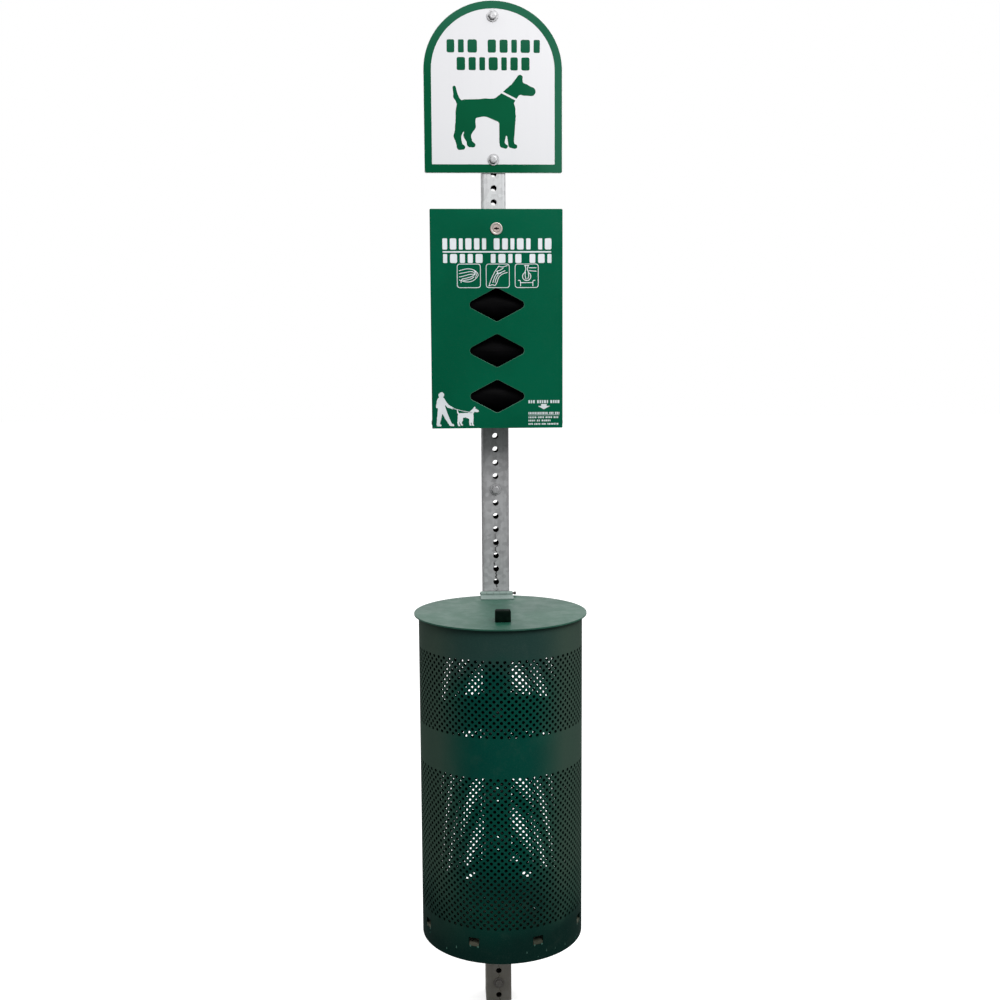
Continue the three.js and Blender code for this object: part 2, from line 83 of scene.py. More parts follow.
POST_Y = centre("post_lower").y
SHELL_LOW, SHELL_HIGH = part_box("can_shell")
CAN_RADIUS = (SHELL_HIGH.x - SHELL_LOW.x) / 2
CAN_Y = (SHELL_LOW.y + SHELL_HIGH.y) / 2
DOOR_LOW, DOOR_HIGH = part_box("dispenser_door")
DOOR_FRONT = DOOR_LOW.y
SIGN_LOW, SIGN_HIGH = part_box("sign_panel")
ROLL_Z = {level: centre(f"bag_roll_{level}").z for level in LEVELS}
FLOOR_LOW, FLOOR_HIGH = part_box("can_floor")
INCH = 25.4 * MM
HOLE_PITCH = INCH
BOLT_HOLE = 4.4 * MM


# ---- meshes ----


def face_outwards(mesh):
    """Turns every face so that its front is outside."""
    shape = bmesh.new()
    shape.from_mesh(mesh)
    bmesh.ops.recalc_face_normals(shape, faces=shape.faces)
    shape.to_mesh(mesh)
    shape.free()


def attach(thing, node, stands_in=True):
    """Puts a piece on its CAD node's body, in place of the node or as an extra on it."""
    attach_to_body(thing, frame["nodes"][node]["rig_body"])
    replaced = [node] if stands_in else []
    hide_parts(*replaced)


def add_to_scene(name, data):
    thing = bpy.data.objects.new(name, data)
    bpy.context.scene.collection.objects.link(thing)
    return thing


def smooth(mesh, sharp=40):
    """Smooth faces, sharp where they meet at more than `sharp` degrees."""
    mesh.shade_smooth()
    mesh.set_sharp_from_angle(angle=math.radians(sharp))


def make_object(name, points, faces, materials, node=None, stands_in=True, sharp=40):
    """A smooth mesh object, attached to its CAD node if it has one."""
    mesh = bpy.data.meshes.new(name)
    mesh.from_pydata([tuple(p) for p in points], [], faces)
    mesh.validate()
    face_outwards(mesh)
    smooth(mesh, sharp)
    for material in materials if isinstance(materials, list) else [materials]:
        mesh.materials.append(material)
    thing = add_to_scene(name, mesh)
    if node:
        attach(thing, node, stands_in)
    return thing


def soften(thing, width, segments=2):
    """Rounds every edge sharper than a rolled bend."""
    bevel = thing.modifiers.new("soft_edges", "BEVEL")
    bevel.width = width
    bevel.segments = segments
    bevel.limit_method = "ANGLE"
    bevel.angle_limit = math.radians(40)
    bevel.use_clamp_overlap = True


def cut_away(thing, cutters):
    """Takes the cutters out of a mesh for good, and deletes them."""
    for cutter in cutters:
        modifier = thing.modifiers.new("cut", "BOOLEAN")
        modifier.operation = "DIFFERENCE"
        modifier.solver = "EXACT"
        modifier.object = cutter
    bpy.context.view_layer.update()
    evaluated = thing.evaluated_get(bpy.context.evaluated_depsgraph_get())
    thing.data = bpy.data.meshes.new_from_object(evaluated)
    thing.modifiers.clear()
    for cutter in cutters:
        bpy.data.objects.remove(cutter)
    smooth(thing.data)


class Sheet:
    """A thin sheet drawn flat in (u, v), then wrapped onto a surface and given its thickness.

    Faces run anticlockwise as seen from outside. The sheet meets itself again after the length `around` of u.
    """

    def __init__(self, around=None):
        self.around = around
        self.points = []
        self.index = {}
        self.faces = []

    def point(self, u, v):
        if self.around:
            u = u % self.around
            if self.around - u < 1e-7:
                u = 0.0
        key = (round(u * 1e6 + 0.3), round(v * 1e6 + 0.3))
        if key not in self.index:
            self.index[key] = len(self.points)
            self.points.append((u, v))
        return self.index[key]

    def face(self, *corners):
        found = [self.point(*corner) for corner in corners]
        if len(set(found)) == len(found):
            self.faces.append(found)

    def ring(self, outer, inner):
        """Fills between two anticlockwise loops, one inside the other."""
        mid_u = sum(u for u, _ in inner) / len(inner)
        mid_v = sum(v for _, v in inner) / len(inner)

        def from_lowest_angle(loop):
            angles = [math.atan2(v - mid_v, u - mid_u) for u, v in loop]
            first = angles.index(min(angles))
            return loop[first:] + loop[:first] + [loop[first]]

        outer, inner = from_lowest_angle(outer), from_lowest_angle(inner)
        i = j = 0
        while i < len(outer) - 1 or j < len(inner) - 1:
            to_outer = math.dist(outer[i + 1], inner[j]) if i < len(outer) - 1 else math.inf
            to_inner = math.dist(outer[i], inner[j + 1]) if j < len(inner) - 1 else math.inf
            if to_outer < to_inner:
                self.face(outer[i], outer[i + 1], inner[j])
                i += 1
            else:
                self.face(inner[j + 1], inner[j], outer[i])
                j += 1

    def course(self, columns, low, high, windows=()):
        """A row of panels between two heights. A window is (first column, last column, hole outline)."""
        covered = set()
        for first, last, outline in windows:
            covered.update(range(first, last))
            bottom = [(columns[i], low) for i in range(first, last + 1)]
            top = [(columns[i], high) for i in range(last, first - 1, -1)]
            self.ring(bottom + top, outline)
        for i in range(len(columns) - 1):
            if i not in covered:
                left, right = columns[i], columns[i + 1]
                self.face((left, low), (right, low), (right, high), (left, high))

    def build(self, name, place, thickness, outside, inside, node):
        """Gives the sheet its thickness; `inside` is the material of its back and of its holes' walls."""
        count = len(self.points)
        front = [place(u, v, 0) for u, v in self.points]
        back = [place(u, v, thickness) for u, v in self.points]
        edges = {(f[i - 1], f[i]) for f in self.faces for i in range(len(f))}
        hidden = [[i + count for i in reversed(f)] for f in self.faces]
        hidden += sorted([b, a, a + count, b + count] for a, b in edges if (b, a) not in edges)
        thing = make_object(name, front + back, self.faces + hidden, [outside, inside], node)
        for face in thing.data.polygons:
            face.material_index = int(face.index >= len(self.faces))


def circle(u, v, radius, sides, start=0.5):
    """An anticlockwise loop of points round (u, v)."""
    steps = [FULL_TURN * (i + start) / sides for i in range(sides)]
    return [(u + radius * math.cos(a), v + radius * math.sin(a)) for a in steps]


def rounded(corners, radius, steps=4):
    """An anticlockwise outline through the corners, each one rounded to the radius."""
    outline = []
    for i, corner in enumerate(corners):
        corner = Vector(corner)
        before = (Vector(corners[i - 1]) - corner).normalized()
        after = (Vector(corners[(i + 1) % len(corners)]) - corner).normalized()
        inward = (before + after).normalized()
        half_angle = before.angle(inward)
        middle = corner + inward * radius / math.sin(half_angle)
        facing = math.atan2(-inward.y, -inward.x)
        sweep = math.pi / 2 - half_angle
        for step in range(steps + 1):
            angle = facing + sweep * (2 * step / steps - 1)
            outline.append((middle.x + radius * math.cos(angle), middle.y + radius * math.sin(angle)))
    return outline


def rectangle(low_u, low_v, high_u, high_v):
    return [(low_u, low_v), (high_u, low_v), (high_u, high_v), (low_u, high_v)]


def between_rings(start, sides, rings, closed=False):
    """The faces between neighbouring rings of points, numbered from `start`; closed joins up the ends."""
    faces = []
    for ring in range(rings if closed else rings - 1):
        here, there = start + ring * sides, start + (ring + 1) % rings * sides
        for i in range(sides):
            j = (i + 1) % sides
            faces.append([here + i, here + j, there + j, there + i])
    return faces


def loft(name, rings, materials, closed=False, **how):
    """A skin over a row of equal rings of points. It is capped at both ends, or joined up if closed."""
    sides = len(rings[0])
    points = [p for ring in rings for p in ring]
    faces = between_rings(0, sides, len(rings), closed)
    if not closed:
        faces.append(list(reversed(range(sides))))
        faces.append([len(points) - sides + i for i in range(sides)])
    return make_object(name, points, faces, materials, **how)


def turned(name, profile, origin, axis, materials, sides=32, closed=True, **how):
    """A turned piece: (radius, distance along the axis) pairs, the outside going along the axis."""
    along = Vector(axis)
    first = Vector((1, 0, 0)) if abs(along.x) < 0.5 else Vector((0, 1, 0))
    second = along.cross(first)
    steps = [FULL_TURN * i / sides for i in range(sides)]
    rings = []
    for radius, distance in profile:
        middle = origin + along * distance
        rings.append([middle + (first * math.cos(a) + second * math.sin(a)) * radius for a in steps])
    return loft(name, rings, materials, closed, **how)


def mirrored(profile, length):
    """A turned profile that ends as it starts, from its first half."""
    return profile + [(radius, length - distance) for radius, distance in reversed(profile)]


def round_size(node, axis):
    """The radius and length of a round node about an axis."""
    low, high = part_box(node)
    size = high - low
    if abs(axis[0]) > 0.5:
        return size.z / 2, size.x
    return size.x / 2, size.y if abs(axis[1]) > 0.5 else size.z


def turned_node(node, ending, axis, profile, materials, sides=32, closed=True):
    """A turned piece in a node's place; its distances run along the axis from the node's near end."""
    near_end = centre(node) - Vector(axis) * round_size(node, axis)[1] / 2
    return turned(f"{node}_{ending}", profile, near_end, axis, materials, sides, closed, node=node)


def ring_profile(inner, outer, start, end, ease):
    """The cross-section of a ring with eased outer edges, for turned()."""
    return [
        (inner, end),
        (inner, start),
        (outer - ease, start),
        (outer, start + ease),
        (outer, end - ease),
        (outer - ease, end),
    ]


def add_slab(points, faces, loops, place, thickness):
    """Adds a plate to a mesh being collected: the first loop is its outline, the others its holes."""
    start = len(points)
    flat = [point for loop in loops for point in loop]
    count = len(flat)
    for triangle in geometry.tessellate_polygon([[Vector((u, v, 0)) for u, v in loop] for loop in loops]):
        (ax, ay), (bx, by), (cx, cy) = (flat[i] for i in triangle)
        if (bx - ax) * (cy - ay) < (by - ay) * (cx - ax):
            triangle = tuple(reversed(triangle))
        faces.append([start + i for i in triangle])
        faces.append([start + count + i for i in reversed(triangle)])
    first = start
    for loop in loops:
        for i in range(len(loop)):
            a, b = first + i, first + (i + 1) % len(loop)
            faces.append([b, a, a + count, b + count])
        first += len(loop)
    points += [place(u, v, 0) for u, v in flat] + [place(u, v, thickness) for u, v in flat]


def flat_slab(name, outline, holes, place, thickness, materials, **how):
    """A plate with any outline and holes. place(u, v, depth) puts its points in space."""
    points, faces = [], []
    add_slab(points, faces, [outline] + [list(reversed(hole)) for hole in holes], place, thickness)
    return make_object(name, points, faces, materials, **how)


def facing_front(y, x=0.0, z=0.0):
    """Places a flat drawing on a plane seen from the front; depth goes back from it."""
    return lambda u, v, depth: Vector((x + u, y + depth, z + v))


def facing_up(z, x=0.0, y=0.0):
    """Places a flat drawing on a plane seen from above; depth goes down from it."""
    return lambda u, v, depth: Vector((x + u, y + v, z - depth))


# ---- materials ----


class Nodes:
    """A node tree being put together."""

    def __init__(self, tree):
        self.tree = tree

    def add(self, kind, settings=None, **inputs):
        node = self.tree.nodes.new("ShaderNode" + kind)
        for key, value in (settings or {}).items():
            setattr(node, key, value)
        for key, value in inputs.items():
            self.feed(node.inputs[key.replace("_", " ")], value)
        return node

    def feed(self, socket, value):
        if isinstance(value, bpy.types.NodeSocket):
            self.tree.links.new(value, socket)
        else:
            socket.default_value = value

    def spread(self, value, low, high, to_low=0.0, to_high=1.0, shape="SMOOTHSTEP"):
        """Carries the range low to high over to another one, and stops at its ends."""
        node = self.add("MapRange", {"interpolation_type": shape}, Value=value)
        for i, number in enumerate((low, high, to_low, to_high)):
            node.inputs[i + 1].default_value = number
        return node.outputs[0]

    def sum(self, a, b, how="ADD"):
        node = self.add("Math", {"operation": how})
        self.feed(node.inputs[0], a)
        self.feed(node.inputs[1], b)
        return node.outputs[0]

    def times(self, a, b):
        return self.sum(a, b, "MULTIPLY")


class Finish(Nodes):
    """A material being put together; every pattern is drawn in the piece's own coordinates."""

    def __init__(self, name):
        self.material = bpy.data.materials.new(name)
        self.material.use_nodes = True
        super().__init__(self.material.node_tree)
        self.shader = self.tree.nodes["Principled BSDF"]
        self.where = self.add("TexCoord").outputs["Object"]

    def noise(self, scale, detail=3.0, roughness=0.5, stretch=None):
        """Cloudy noise; stretch is its scale along x, y and z, for streaks."""
        where = self.where
        if stretch:
            where = self.add("Mapping", {"vector_type": "POINT"}, Vector=where, Scale=stretch).outputs[0]
        node = self.add("TexNoise", Vector=where, Scale=scale, Detail=detail, Roughness=roughness)
        return node.outputs["Fac"]

    def place(self, axis):
        return self.add("SeparateXYZ", Vector=self.where).outputs[axis]

    def mix(self, share, a, b):
        node = self.add("Mix", {"data_type": "RGBA"})
        self.feed(node.inputs[0], share)
        self.feed(node.inputs[6], a)
        self.feed(node.inputs[7], b)
        return node.outputs[2]

    def bump(self, value, strength, distance):
        before = self.shader.inputs["Normal"]
        node = self.add("Bump", Height=value, Strength=strength, Distance=distance)
        if before.is_linked:
            self.feed(node.inputs["Normal"], before.links[0].from_socket)
        self.feed(before, node.outputs[0])

    def crevice_shade(self, distance):
        """1 deep in a corner between pieces, 0 in the open; used to paint shade into corners."""
        occlusion = self.add("AmbientOcclusion", {"samples": 4}, Distance=distance).outputs["AO"]
        return self.spread(occlusion, 0.85, 0.35)

    def edges(self, radius):
        """1 near a sharp edge, 0 on open surfaces."""
        node = self.add("VectorMath", {"operation": "DOT_PRODUCT"})
        self.feed(node.inputs[0], self.add("Bevel", {"samples": 4}, Radius=radius).outputs[0])
        self.feed(node.inputs[1], self.add("NewGeometry").outputs["Normal"])
        return self.spread(node.outputs["Value"], 0.995, 0.85)

    def done(self, colour, roughness, metallic=0.0, shine=None, **more):
        """Connects the shader; shine is its specular level."""
        if shine is not None:
            more["Specular_IOR_Level"] = shine
        more.update(Base_Color=colour, Roughness=roughness, Metallic=metallic)
        for key, value in more.items():
            self.feed(self.shader.inputs[key.replace("_", " ")], value)
        return self.material


def tint(red, green, blue):
    """A linear colour from 0-255 display values."""
    def linear(value):
        share = value / 255
        return share / 12.92 if share <= 0.04045 else ((share + 0.055) / 1.055) ** 2.4
    return (linear(red), linear(green), linear(blue), 1.0)


# Heights over which the zinc turns darker towards the foot: dirt, and painted shade.
FOOT_GRIME_AND_SHADE_HEIGHTS = (0.75, 0.05)


def galvanised_finish(name, plain, bright):
    """Zinc spangle with rain streaks and dirt trickles under the holes, darker towards the foot from dirt and
    painted shade, with painted shade in the corners.
    """
    f = Finish(name)
    cells = f.add("TexVoronoi", Vector=f.where, Scale=150.0).outputs["Color"]
    spangle = f.add("SeparateColor", Color=cells).outputs[0]
    colour = f.mix(f.spread(spangle, 0.0, 1.0, 0.2, 0.8), plain, bright)
    streaks = f.noise(1.0, 4.0, 0.6, (110, 110, 3))
    colour = f.mix(f.spread(streaks, 0.45, 0.75, 0.0, 0.4), colour, tint(128, 127, 128))
    blotches = f.noise(28.0, 5.0, 0.65)
    colour = f.mix(f.spread(blotches, 0.52, 0.75, 0.0, 0.3), colour, tint(212, 212, 214))
    wander = f.noise(1.0, 2.0, 0.5, (1, 1, 75))
    off_centre = f.sum(f.place("X"), f.spread(wander, 0.3, 0.7, -0.004, 0.004))
    trickle = f.spread(f.sum(off_centre, 0.0, "ABSOLUTE"), 0.0018, 0.0008)
    patchy = f.spread(f.noise(1.0, 3.0, 0.6, (20, 20, 45)), 0.38, 0.46)
    dripping = f.times(f.spread(f.place("Z"), 0.98, 0.9), patchy)
    colour = f.mix(f.times(f.times(trickle, dripping), 0.9), colour, tint(40, 38, 36))
    # Darker and rougher towards the foot: dirt, and painted shade.
    foot_grime_and_shade = f.times(f.spread(f.place("Z"), *FOOT_GRIME_AND_SHADE_HEIGHTS), f.spread(blotches, 0.3, 0.7, 0.75, 1.0))
    colour = f.mix(f.times(foot_grime_and_shade, 0.8), colour, tint(138, 134, 120))
    # Painted shade in the corners between pieces.
    colour = f.mix(f.times(f.crevice_shade(0.003), 0.8), colour, tint(30, 29, 28))
    f.bump(f.noise(420.0, 2.0), 0.12, 0.0004)
    f.bump(streaks, 0.08, 0.0008)
    return f.done(colour, f.sum(f.spread(spangle, 0.0, 1.0, 0.42, 0.58), f.times(foot_grime_and_shade, 0.25)), 0.35)


def zinc_finish():
    """Dull plating, scuffed by a spanner, with painted shade in the corners, and darker near the ground from
    dirt and painted shade.
    """
    f = Finish("zinc_plating")
    scuffs = f.noise(260.0, 5.0, 0.7)
    colour = f.mix(f.spread(scuffs, 0.35, 0.7), tint(188, 188, 190), tint(158, 158, 160))
    # Darker and rougher towards the ground: dirt, and painted shade.
    foot_grime_and_shade = f.spread(f.place("Z"), *FOOT_GRIME_AND_SHADE_HEIGHTS)
    colour = f.mix(f.times(foot_grime_and_shade, 0.75), colour, tint(112, 107, 98))
    # Painted shade in the corners between pieces.
    colour = f.mix(f.times(f.crevice_shade(0.0025), 0.9), colour, tint(40, 39, 38))
    f.bump(scuffs, 0.15, 0.0003)
    return f.done(colour, f.sum(f.spread(scuffs, 0.3, 0.75, 0.36, 0.52), f.times(foot_grime_and_shade, 0.2)), 0.4)


def dark_steel_finish():
    """Oxidised steel for the hinge pin."""
    f = Finish("dark_steel")
    rust = f.noise(220.0, 5.0, 0.7)
    colour = f.mix(f.spread(rust, 0.4, 0.7), tint(52, 50, 50), tint(96, 84, 74))
    f.bump(rust, 0.2, 0.0003)
    return f.done(colour, f.spread(rust, 0.3, 0.75, 0.45, 0.65), 0.6)


def lock_finish(name, bright, dull):
    """Satin nickel with a fine grain, a little tarnish, and painted shade in its hollows."""
    f = Finish(name)
    tarnish = f.noise(120.0, 3.0, 0.5)
    colour = f.mix(f.spread(tarnish, 0.35, 0.75), bright, dull)
    # Painted shade in the hollows.
    colour = f.mix(f.crevice_shade(0.002), colour, tint(50, 44, 42))
    f.bump(f.noise(1500.0, 2.0, 0.5), 0.05, 0.0002)
    return f.done(colour, f.spread(tarnish, 0.35, 0.7, 0.36, 0.48), 0.45)


def keyway_painted_shade():
    """Near-black slabs deep in the keyway: painted shade over the wafers, with an oily bump."""
    f = Finish("keyway_painted_shade")
    oil = f.noise(900.0, 2.0)
    f.bump(oil, 0.2, 0.0002)
    return f.done(f.mix(oil, tint(8, 7, 7), tint(22, 18, 15)), 0.6, shine=0.1)


def soil_finish():
    """Packed earth in the foot of the post."""
    f = Finish("packed_soil")
    grit = f.noise(500.0, 6.0, 0.75)
    f.bump(grit, 0.6, 0.001)
    return f.done(f.mix(f.spread(grit, 0.35, 0.7), tint(20, 17, 14), tint(46, 40, 33)), 0.95, shine=0.1)


def powder_coat(name, colour, lighter, roughness, shine=0.2, wear=0.0, dust=0.0, edge_sheen=None, bands=()):
    """Sprayed powder coat: slow mottling, fine speckle, orange peel, dust and paint rubbed thin on edges.

    A painted sheen: the colour passed for it shows where the surface turns away from the eye, above the can's
    foot.
    Each of `bands` is a (height, height, colour): between those heights the paint turns to that colour.
    """
    f = Finish(name)
    mottle = f.noise(7.0, 4.0, 0.55)
    paint = f.mix(f.spread(mottle, 0.35, 0.68), colour, lighter)
    drift = f.sum(f.place("Z"), f.spread(mottle, 0.3, 0.7, -0.03, 0.03))
    for start, end, band_colour in bands:
        paint = f.mix(f.spread(drift, start, end), paint, band_colour)
    # Painted sheen: paler where the surface turns away from the eye.
    if edge_sheen:
        facing = f.add("LayerWeight", Blend=0.5).outputs["Facing"]
        sheen_share = f.times(f.spread(facing, 0.08, 0.45, 0.0, 0.75), f.spread(drift, 0.26, 0.42))
        paint = f.mix(sheen_share, paint, edge_sheen)
    paint = f.mix(f.spread(f.noise(1600.0, 1.0), 0.58, 0.78, 0.0, 0.06), paint, tint(170, 190, 180))
    film = f.noise(38.0, 6.0, 0.65)
    if dust:
        paint = f.mix(f.spread(film, 0.5, 0.8, 0.0, dust), paint, tint(128, 134, 122))
    if wear:
        rub = f.times(f.edges(0.0012), f.spread(film, 0.42, 0.62))
        paint = f.mix(f.times(rub, wear), paint, tint(120, 150, 136))
    f.bump(f.noise(520.0, 2.0), 0.1, 0.0004)
    f.bump(mottle, 0.05, 0.002)
    return f.done(paint, f.spread(film, 0.3, 0.75, roughness - 0.05, roughness + 0.1), shine=shine)


def shaded_inside(name, dark, darker):
    """Painted shade for the back of punched sheet and its holes' walls: dark, mottled with overspray."""
    f = Finish(name)
    overspray = f.noise(90.0, 5.0, 0.7)
    f.bump(overspray, 0.2, 0.0005)
    return f.done(f.mix(f.spread(overspray, 0.35, 0.65), dark, darker), 0.8, shine=0.05)


def sign_enamel():
    """White stove enamel, a touch greyer where rain has run down."""
    f = Finish("sign_enamel")
    runs = f.noise(1.0, 4.0, 0.6, (60, 1, 4))
    colour = f.mix(f.spread(runs, 0.45, 0.9, 0.0, 0.35), tint(231, 231, 234), tint(222, 223, 227))
    f.bump(f.noise(240.0, 2.0), 0.03, 0.0003)
    return f.done(colour, f.spread(runs, 0.3, 0.8, 0.36, 0.44), shine=0.3)


def bare_aluminium():
    """The sign's back and edges: mill-finish sheet with rolling lines."""
    f = Finish("mill_aluminium")
    rolling = f.noise(1.0, 5.0, 0.6, (12, 12, 900))
    colour = f.mix(f.spread(rolling, 0.3, 0.7), tint(190, 192, 195), tint(160, 162, 166))
    f.bump(rolling, 0.1, 0.0002)
    return f.done(colour, f.spread(rolling, 0.3, 0.7, 0.3, 0.44), 0.7)


def ink(name, colour, faded, roughness=0.38, shine=0.15, glare_colour=None):
    """Screen ink: nearly even, with slight fading in patches and fine pinholes.

    A painted glare: the colour passed for it shows towards the top and the right of the sign.
    """
    f = Finish(name)
    fade = f.noise(9.0, 4.0, 0.6)
    body = f.mix(f.spread(fade, 0.4, 0.75), colour, faded)
    # Painted glare: paler towards the top and the right of the sign.
    if glare_colour:
        above = f.spread(f.place("Z"), centre("sign_panel").z, SIGN_HIGH.z)
        beside = f.spread(f.place("X"), 0.3 * SIGN_HIGH.x, SIGN_HIGH.x)
        body = f.mix(f.sum(above, beside, "MAXIMUM"), body, glare_colour)
    grain = f.noise(900.0, 2.0)
    body = f.mix(f.spread(grain, 0.6, 0.85, 0.0, 0.25), body, faded)
    f.bump(grain, 0.05, 0.0001)
    return f.done(body, f.spread(fade, 0.3, 0.8, roughness, roughness + 0.1), shine=shine)


def bag_film():
    """Thin black film wound tight: soft lengthwise creases and a dull sheen."""
    f = Finish("bag_film")
    creases = f.noise(1.0, 5.0, 0.6, (14, 150, 150))
    colour = f.mix(f.spread(f.noise(60.0, 3.0), 0.4, 0.8), tint(3, 3, 4), tint(7, 6, 8))
    f.bump(creases, 0.5, 0.0012)
    return f.done(colour, f.spread(creases, 0.3, 0.7, 0.5, 0.66), shine=0.04)


def card_finish():
    """Grey-brown card with a spiral seam."""
    f = Finish("core_card")
    fibres = f.noise(1.0, 4.0, 0.7, (1400, 200, 200))
    spiral = f.add("TexWave", {"bands_direction": "DIAGONAL"}, Vector=f.where, Scale=9.0, Distortion=0.4)
    colour = f.mix(f.spread(fibres, 0.3, 0.7), tint(150, 122, 90), tint(118, 95, 68))
    colour = f.mix(f.spread(spiral.outputs["Fac"], 0.94, 1.0, 0.0, 0.6), colour, tint(80, 62, 44))
    f.bump(fibres, 0.2, 0.0003)
    return f.done(colour, 0.9)


def moulded_plastic():
    """The knob: fine spark-eroded grain, polished a little where fingers lift it."""
    f = Finish("moulded_black")
    handling = f.noise(90.0, 3.0)
    colour = f.mix(f.spread(handling, 0.4, 0.7), tint(3, 16, 11), tint(8, 24, 17))
    f.bump(f.noise(1100.0, 3.0, 0.6), 0.2, 0.0003)
    return f.done(colour, f.spread(handling, 0.35, 0.7, 0.5, 0.66), shine=0.05)


def studio_floor():
    """Pale paper: bright to the camera with soft shadows, but throwing little light back up."""
    f = Finish("studio_floor")
    seen = f.add("LightPath").outputs["Is Camera Ray"]
    paper = f.mix(f.spread(f.noise(1.5, 3.0), 0.3, 0.7), (0.80, 0.80, 0.80, 1), (0.84, 0.84, 0.84, 1))
    colour = f.mix(seen, (0.2, 0.2, 0.2, 1), paper)
    return f.done(colour, 0.9, shine=0.0, Emission_Color=(1, 1, 1, 1), Emission_Strength=f.times(seen, 0.5))


OLD_ZINC = galvanised_finish("galvanised_weathered", tint(158, 158, 160), tint(190, 190, 192))
NEW_ZINC = galvanised_finish("galvanised_bright", tint(184, 184, 186), tint(216, 216, 218))
ZINC = zinc_finish()
DARK_STEEL = dark_steel_finish()
LOCK_RIM = lock_finish("lock_nickel", tint(214, 206, 200), tint(190, 180, 172))
LOCK_FACE = lock_finish("lock_tarnished", tint(190, 176, 168), tint(160, 146, 140))
KEYWAY = keyway_painted_shade()
SOIL = soil_finish()
# Painted shade: the dark inside of the tubes and the walls of their holes.
TUBE_INSIDE = shaded_inside("tube_inside_shade", tint(40, 38, 36), tint(24, 22, 20))
DOOR_GREEN = powder_coat("dispenser_green", tint(0, 84, 58), tint(0, 90, 63), 0.5, 0.02, 0.4)
# Lighter paint on the door's rounded edges: wear, and a painted highlight where they catch the light.
DOOR_EDGE = powder_coat("dispenser_worn_and_lit_edge", tint(24, 96, 72), tint(84, 128, 110), 0.4, 0.4, 0.6)
# The can's paint: a painted sheen at its sides, greyer near the top, and darker towards the foot as painted
# shade.
CAN_GREEN = powder_coat("can_green", tint(0, 62, 53), tint(3, 69, 57), 0.5, 0.04, dust=0.03,
                        edge_sheen=tint(64, 80, 69),
                        bands=[(0.7, 0.79, tint(36, 62, 57)), (0.42, 0.26, tint(8, 38, 33))])
# Painted shade: the dark inside of the can and the walls of its holes.
CAN_INSIDE = shaded_inside("can_inside_shade", tint(0, 24, 18), tint(2, 16, 12))
RUN_GREEN = powder_coat("paint_runs", tint(34, 80, 68), tint(56, 100, 88), 0.35, 0.5, dust=0.3)
TAB_GREEN = powder_coat("can_floor_dusty", tint(48, 54, 44), tint(84, 84, 72), 0.8, 0.1, dust=0.6)
LID_GREEN = powder_coat("lid_green", tint(22, 78, 62), tint(34, 88, 70), 0.42, 0.5, 0.3, 0.12)
HINGE_GREEN = powder_coat("hinge_green", tint(116, 136, 129), tint(134, 152, 146), 0.42, 0.4, 0.6, 0.2)
ENAMEL = sign_enamel()
ALUMINIUM = bare_aluminium()
# The sign's last colour is a painted glare towards the top right.
SIGN_INK = ink("sign_green_ink", tint(0, 84, 53), tint(0, 89, 57), 0.4, 0.03, tint(36, 102, 76))
DOOR_INK = ink("door_white_ink", tint(232, 236, 240), tint(206, 216, 218))
FILM = bag_film()
CARD = card_finish()
KNOB_BLACK = moulded_plastic()


# ---- post ----

TUBE_WALL = 1.9 * MM
CORNER_RADIUS = 4 * MM
EDGE_STRIP = 1 * MM
POST_HOLE = 7 / 32 * INCH


def tube_place(size):
    """Wraps u round a square tube with rounded corners, from the left end of its front face."""
    flat = size - 2 * CORNER_RADIUS
    quarter = flat + math.pi / 2 * CORNER_RADIUS

    def place(u, v, depth):
        side, along = divmod(u, quarter)
        turn = min(max(along - flat, 0) / CORNER_RADIUS, math.pi / 2)
        out = Vector((math.sin(turn), -math.cos(turn)))
        base = Vector((min(along, flat) - flat / 2, CORNER_RADIUS - size / 2))
        across = base + out * (CORNER_RADIUS - depth)
        across.rotate(Matrix.Rotation(side * math.pi / 2, 2))
        return Vector((across.x, POST_Y + across.y, v))

    return place, flat, quarter


def build_tube(node):
    """A roll-formed square tube with a hole punched every inch in all four faces."""
    low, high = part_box(node)
    place, flat, quarter = tube_place(high.x - low.x)
    sheet = Sheet(around=4 * quarter)
    bends = [flat + (quarter - flat) * i / 4 for i in range(5)]
    bends = [flat - EDGE_STRIP] + bends + [quarter + EDGE_STRIP]
    for step in range(round((high.z - low.z) / HOLE_PITCH)):
        foot = low.z + step * HOLE_PITCH
        head = foot + HOLE_PITCH
        for side in range(4):
            start = side * quarter
            face = rectangle(start + EDGE_STRIP, foot, start + flat - EDGE_STRIP, head)
            sheet.ring(face, circle(start + flat / 2, (foot + head) / 2, POST_HOLE, 20))
            sheet.course([start + bend for bend in bends], foot, head)
    zinc = NEW_ZINC if node == "post_upper" else OLD_ZINC
    sheet.build(f"{node}_punched", place, TUBE_WALL, zinc, TUBE_INSIDE, node)


def build_soil():
    """A lumpy plug of earth in the bottom of the anchor tube."""
    rng = random.Random(3)
    low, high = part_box("ground_anchor")
    half = (high.x - low.x) / 2 - TUBE_WALL - 0.5 * MM
    cells = 16
    steps = [half * (2 * i / cells - 1) for i in range(cells + 1)]
    points = [(x, POST_Y + y, 0.3 * MM) for x in steps for y in steps]
    points += [(x, POST_Y + y, rng.uniform(5, 8) * MM) for x in steps for y in steps]
    top = (cells + 1) ** 2

    def at(i, j):
        return i * (cells + 1) + j

    faces = []
    for i in range(cells):
        for j in range(cells):
            square = [at(i, j), at(i + 1, j), at(i + 1, j + 1), at(i, j + 1)]
            faces += [list(reversed(square)), [top + n for n in square]]
    edge = [at(i, 0) for i in range(cells)] + [at(cells, j) for j in range(cells)]
    edge += [at(cells - i, cells) for i in range(cells)] + [at(0, cells - j) for j in range(cells)]
    faces += [[a, b, top + b, top + a] for a, b in zip(edge, edge[1:] + edge[:1])]
    make_object("post_foot_soil", points, faces, SOIL, "ground_anchor", stands_in=False)


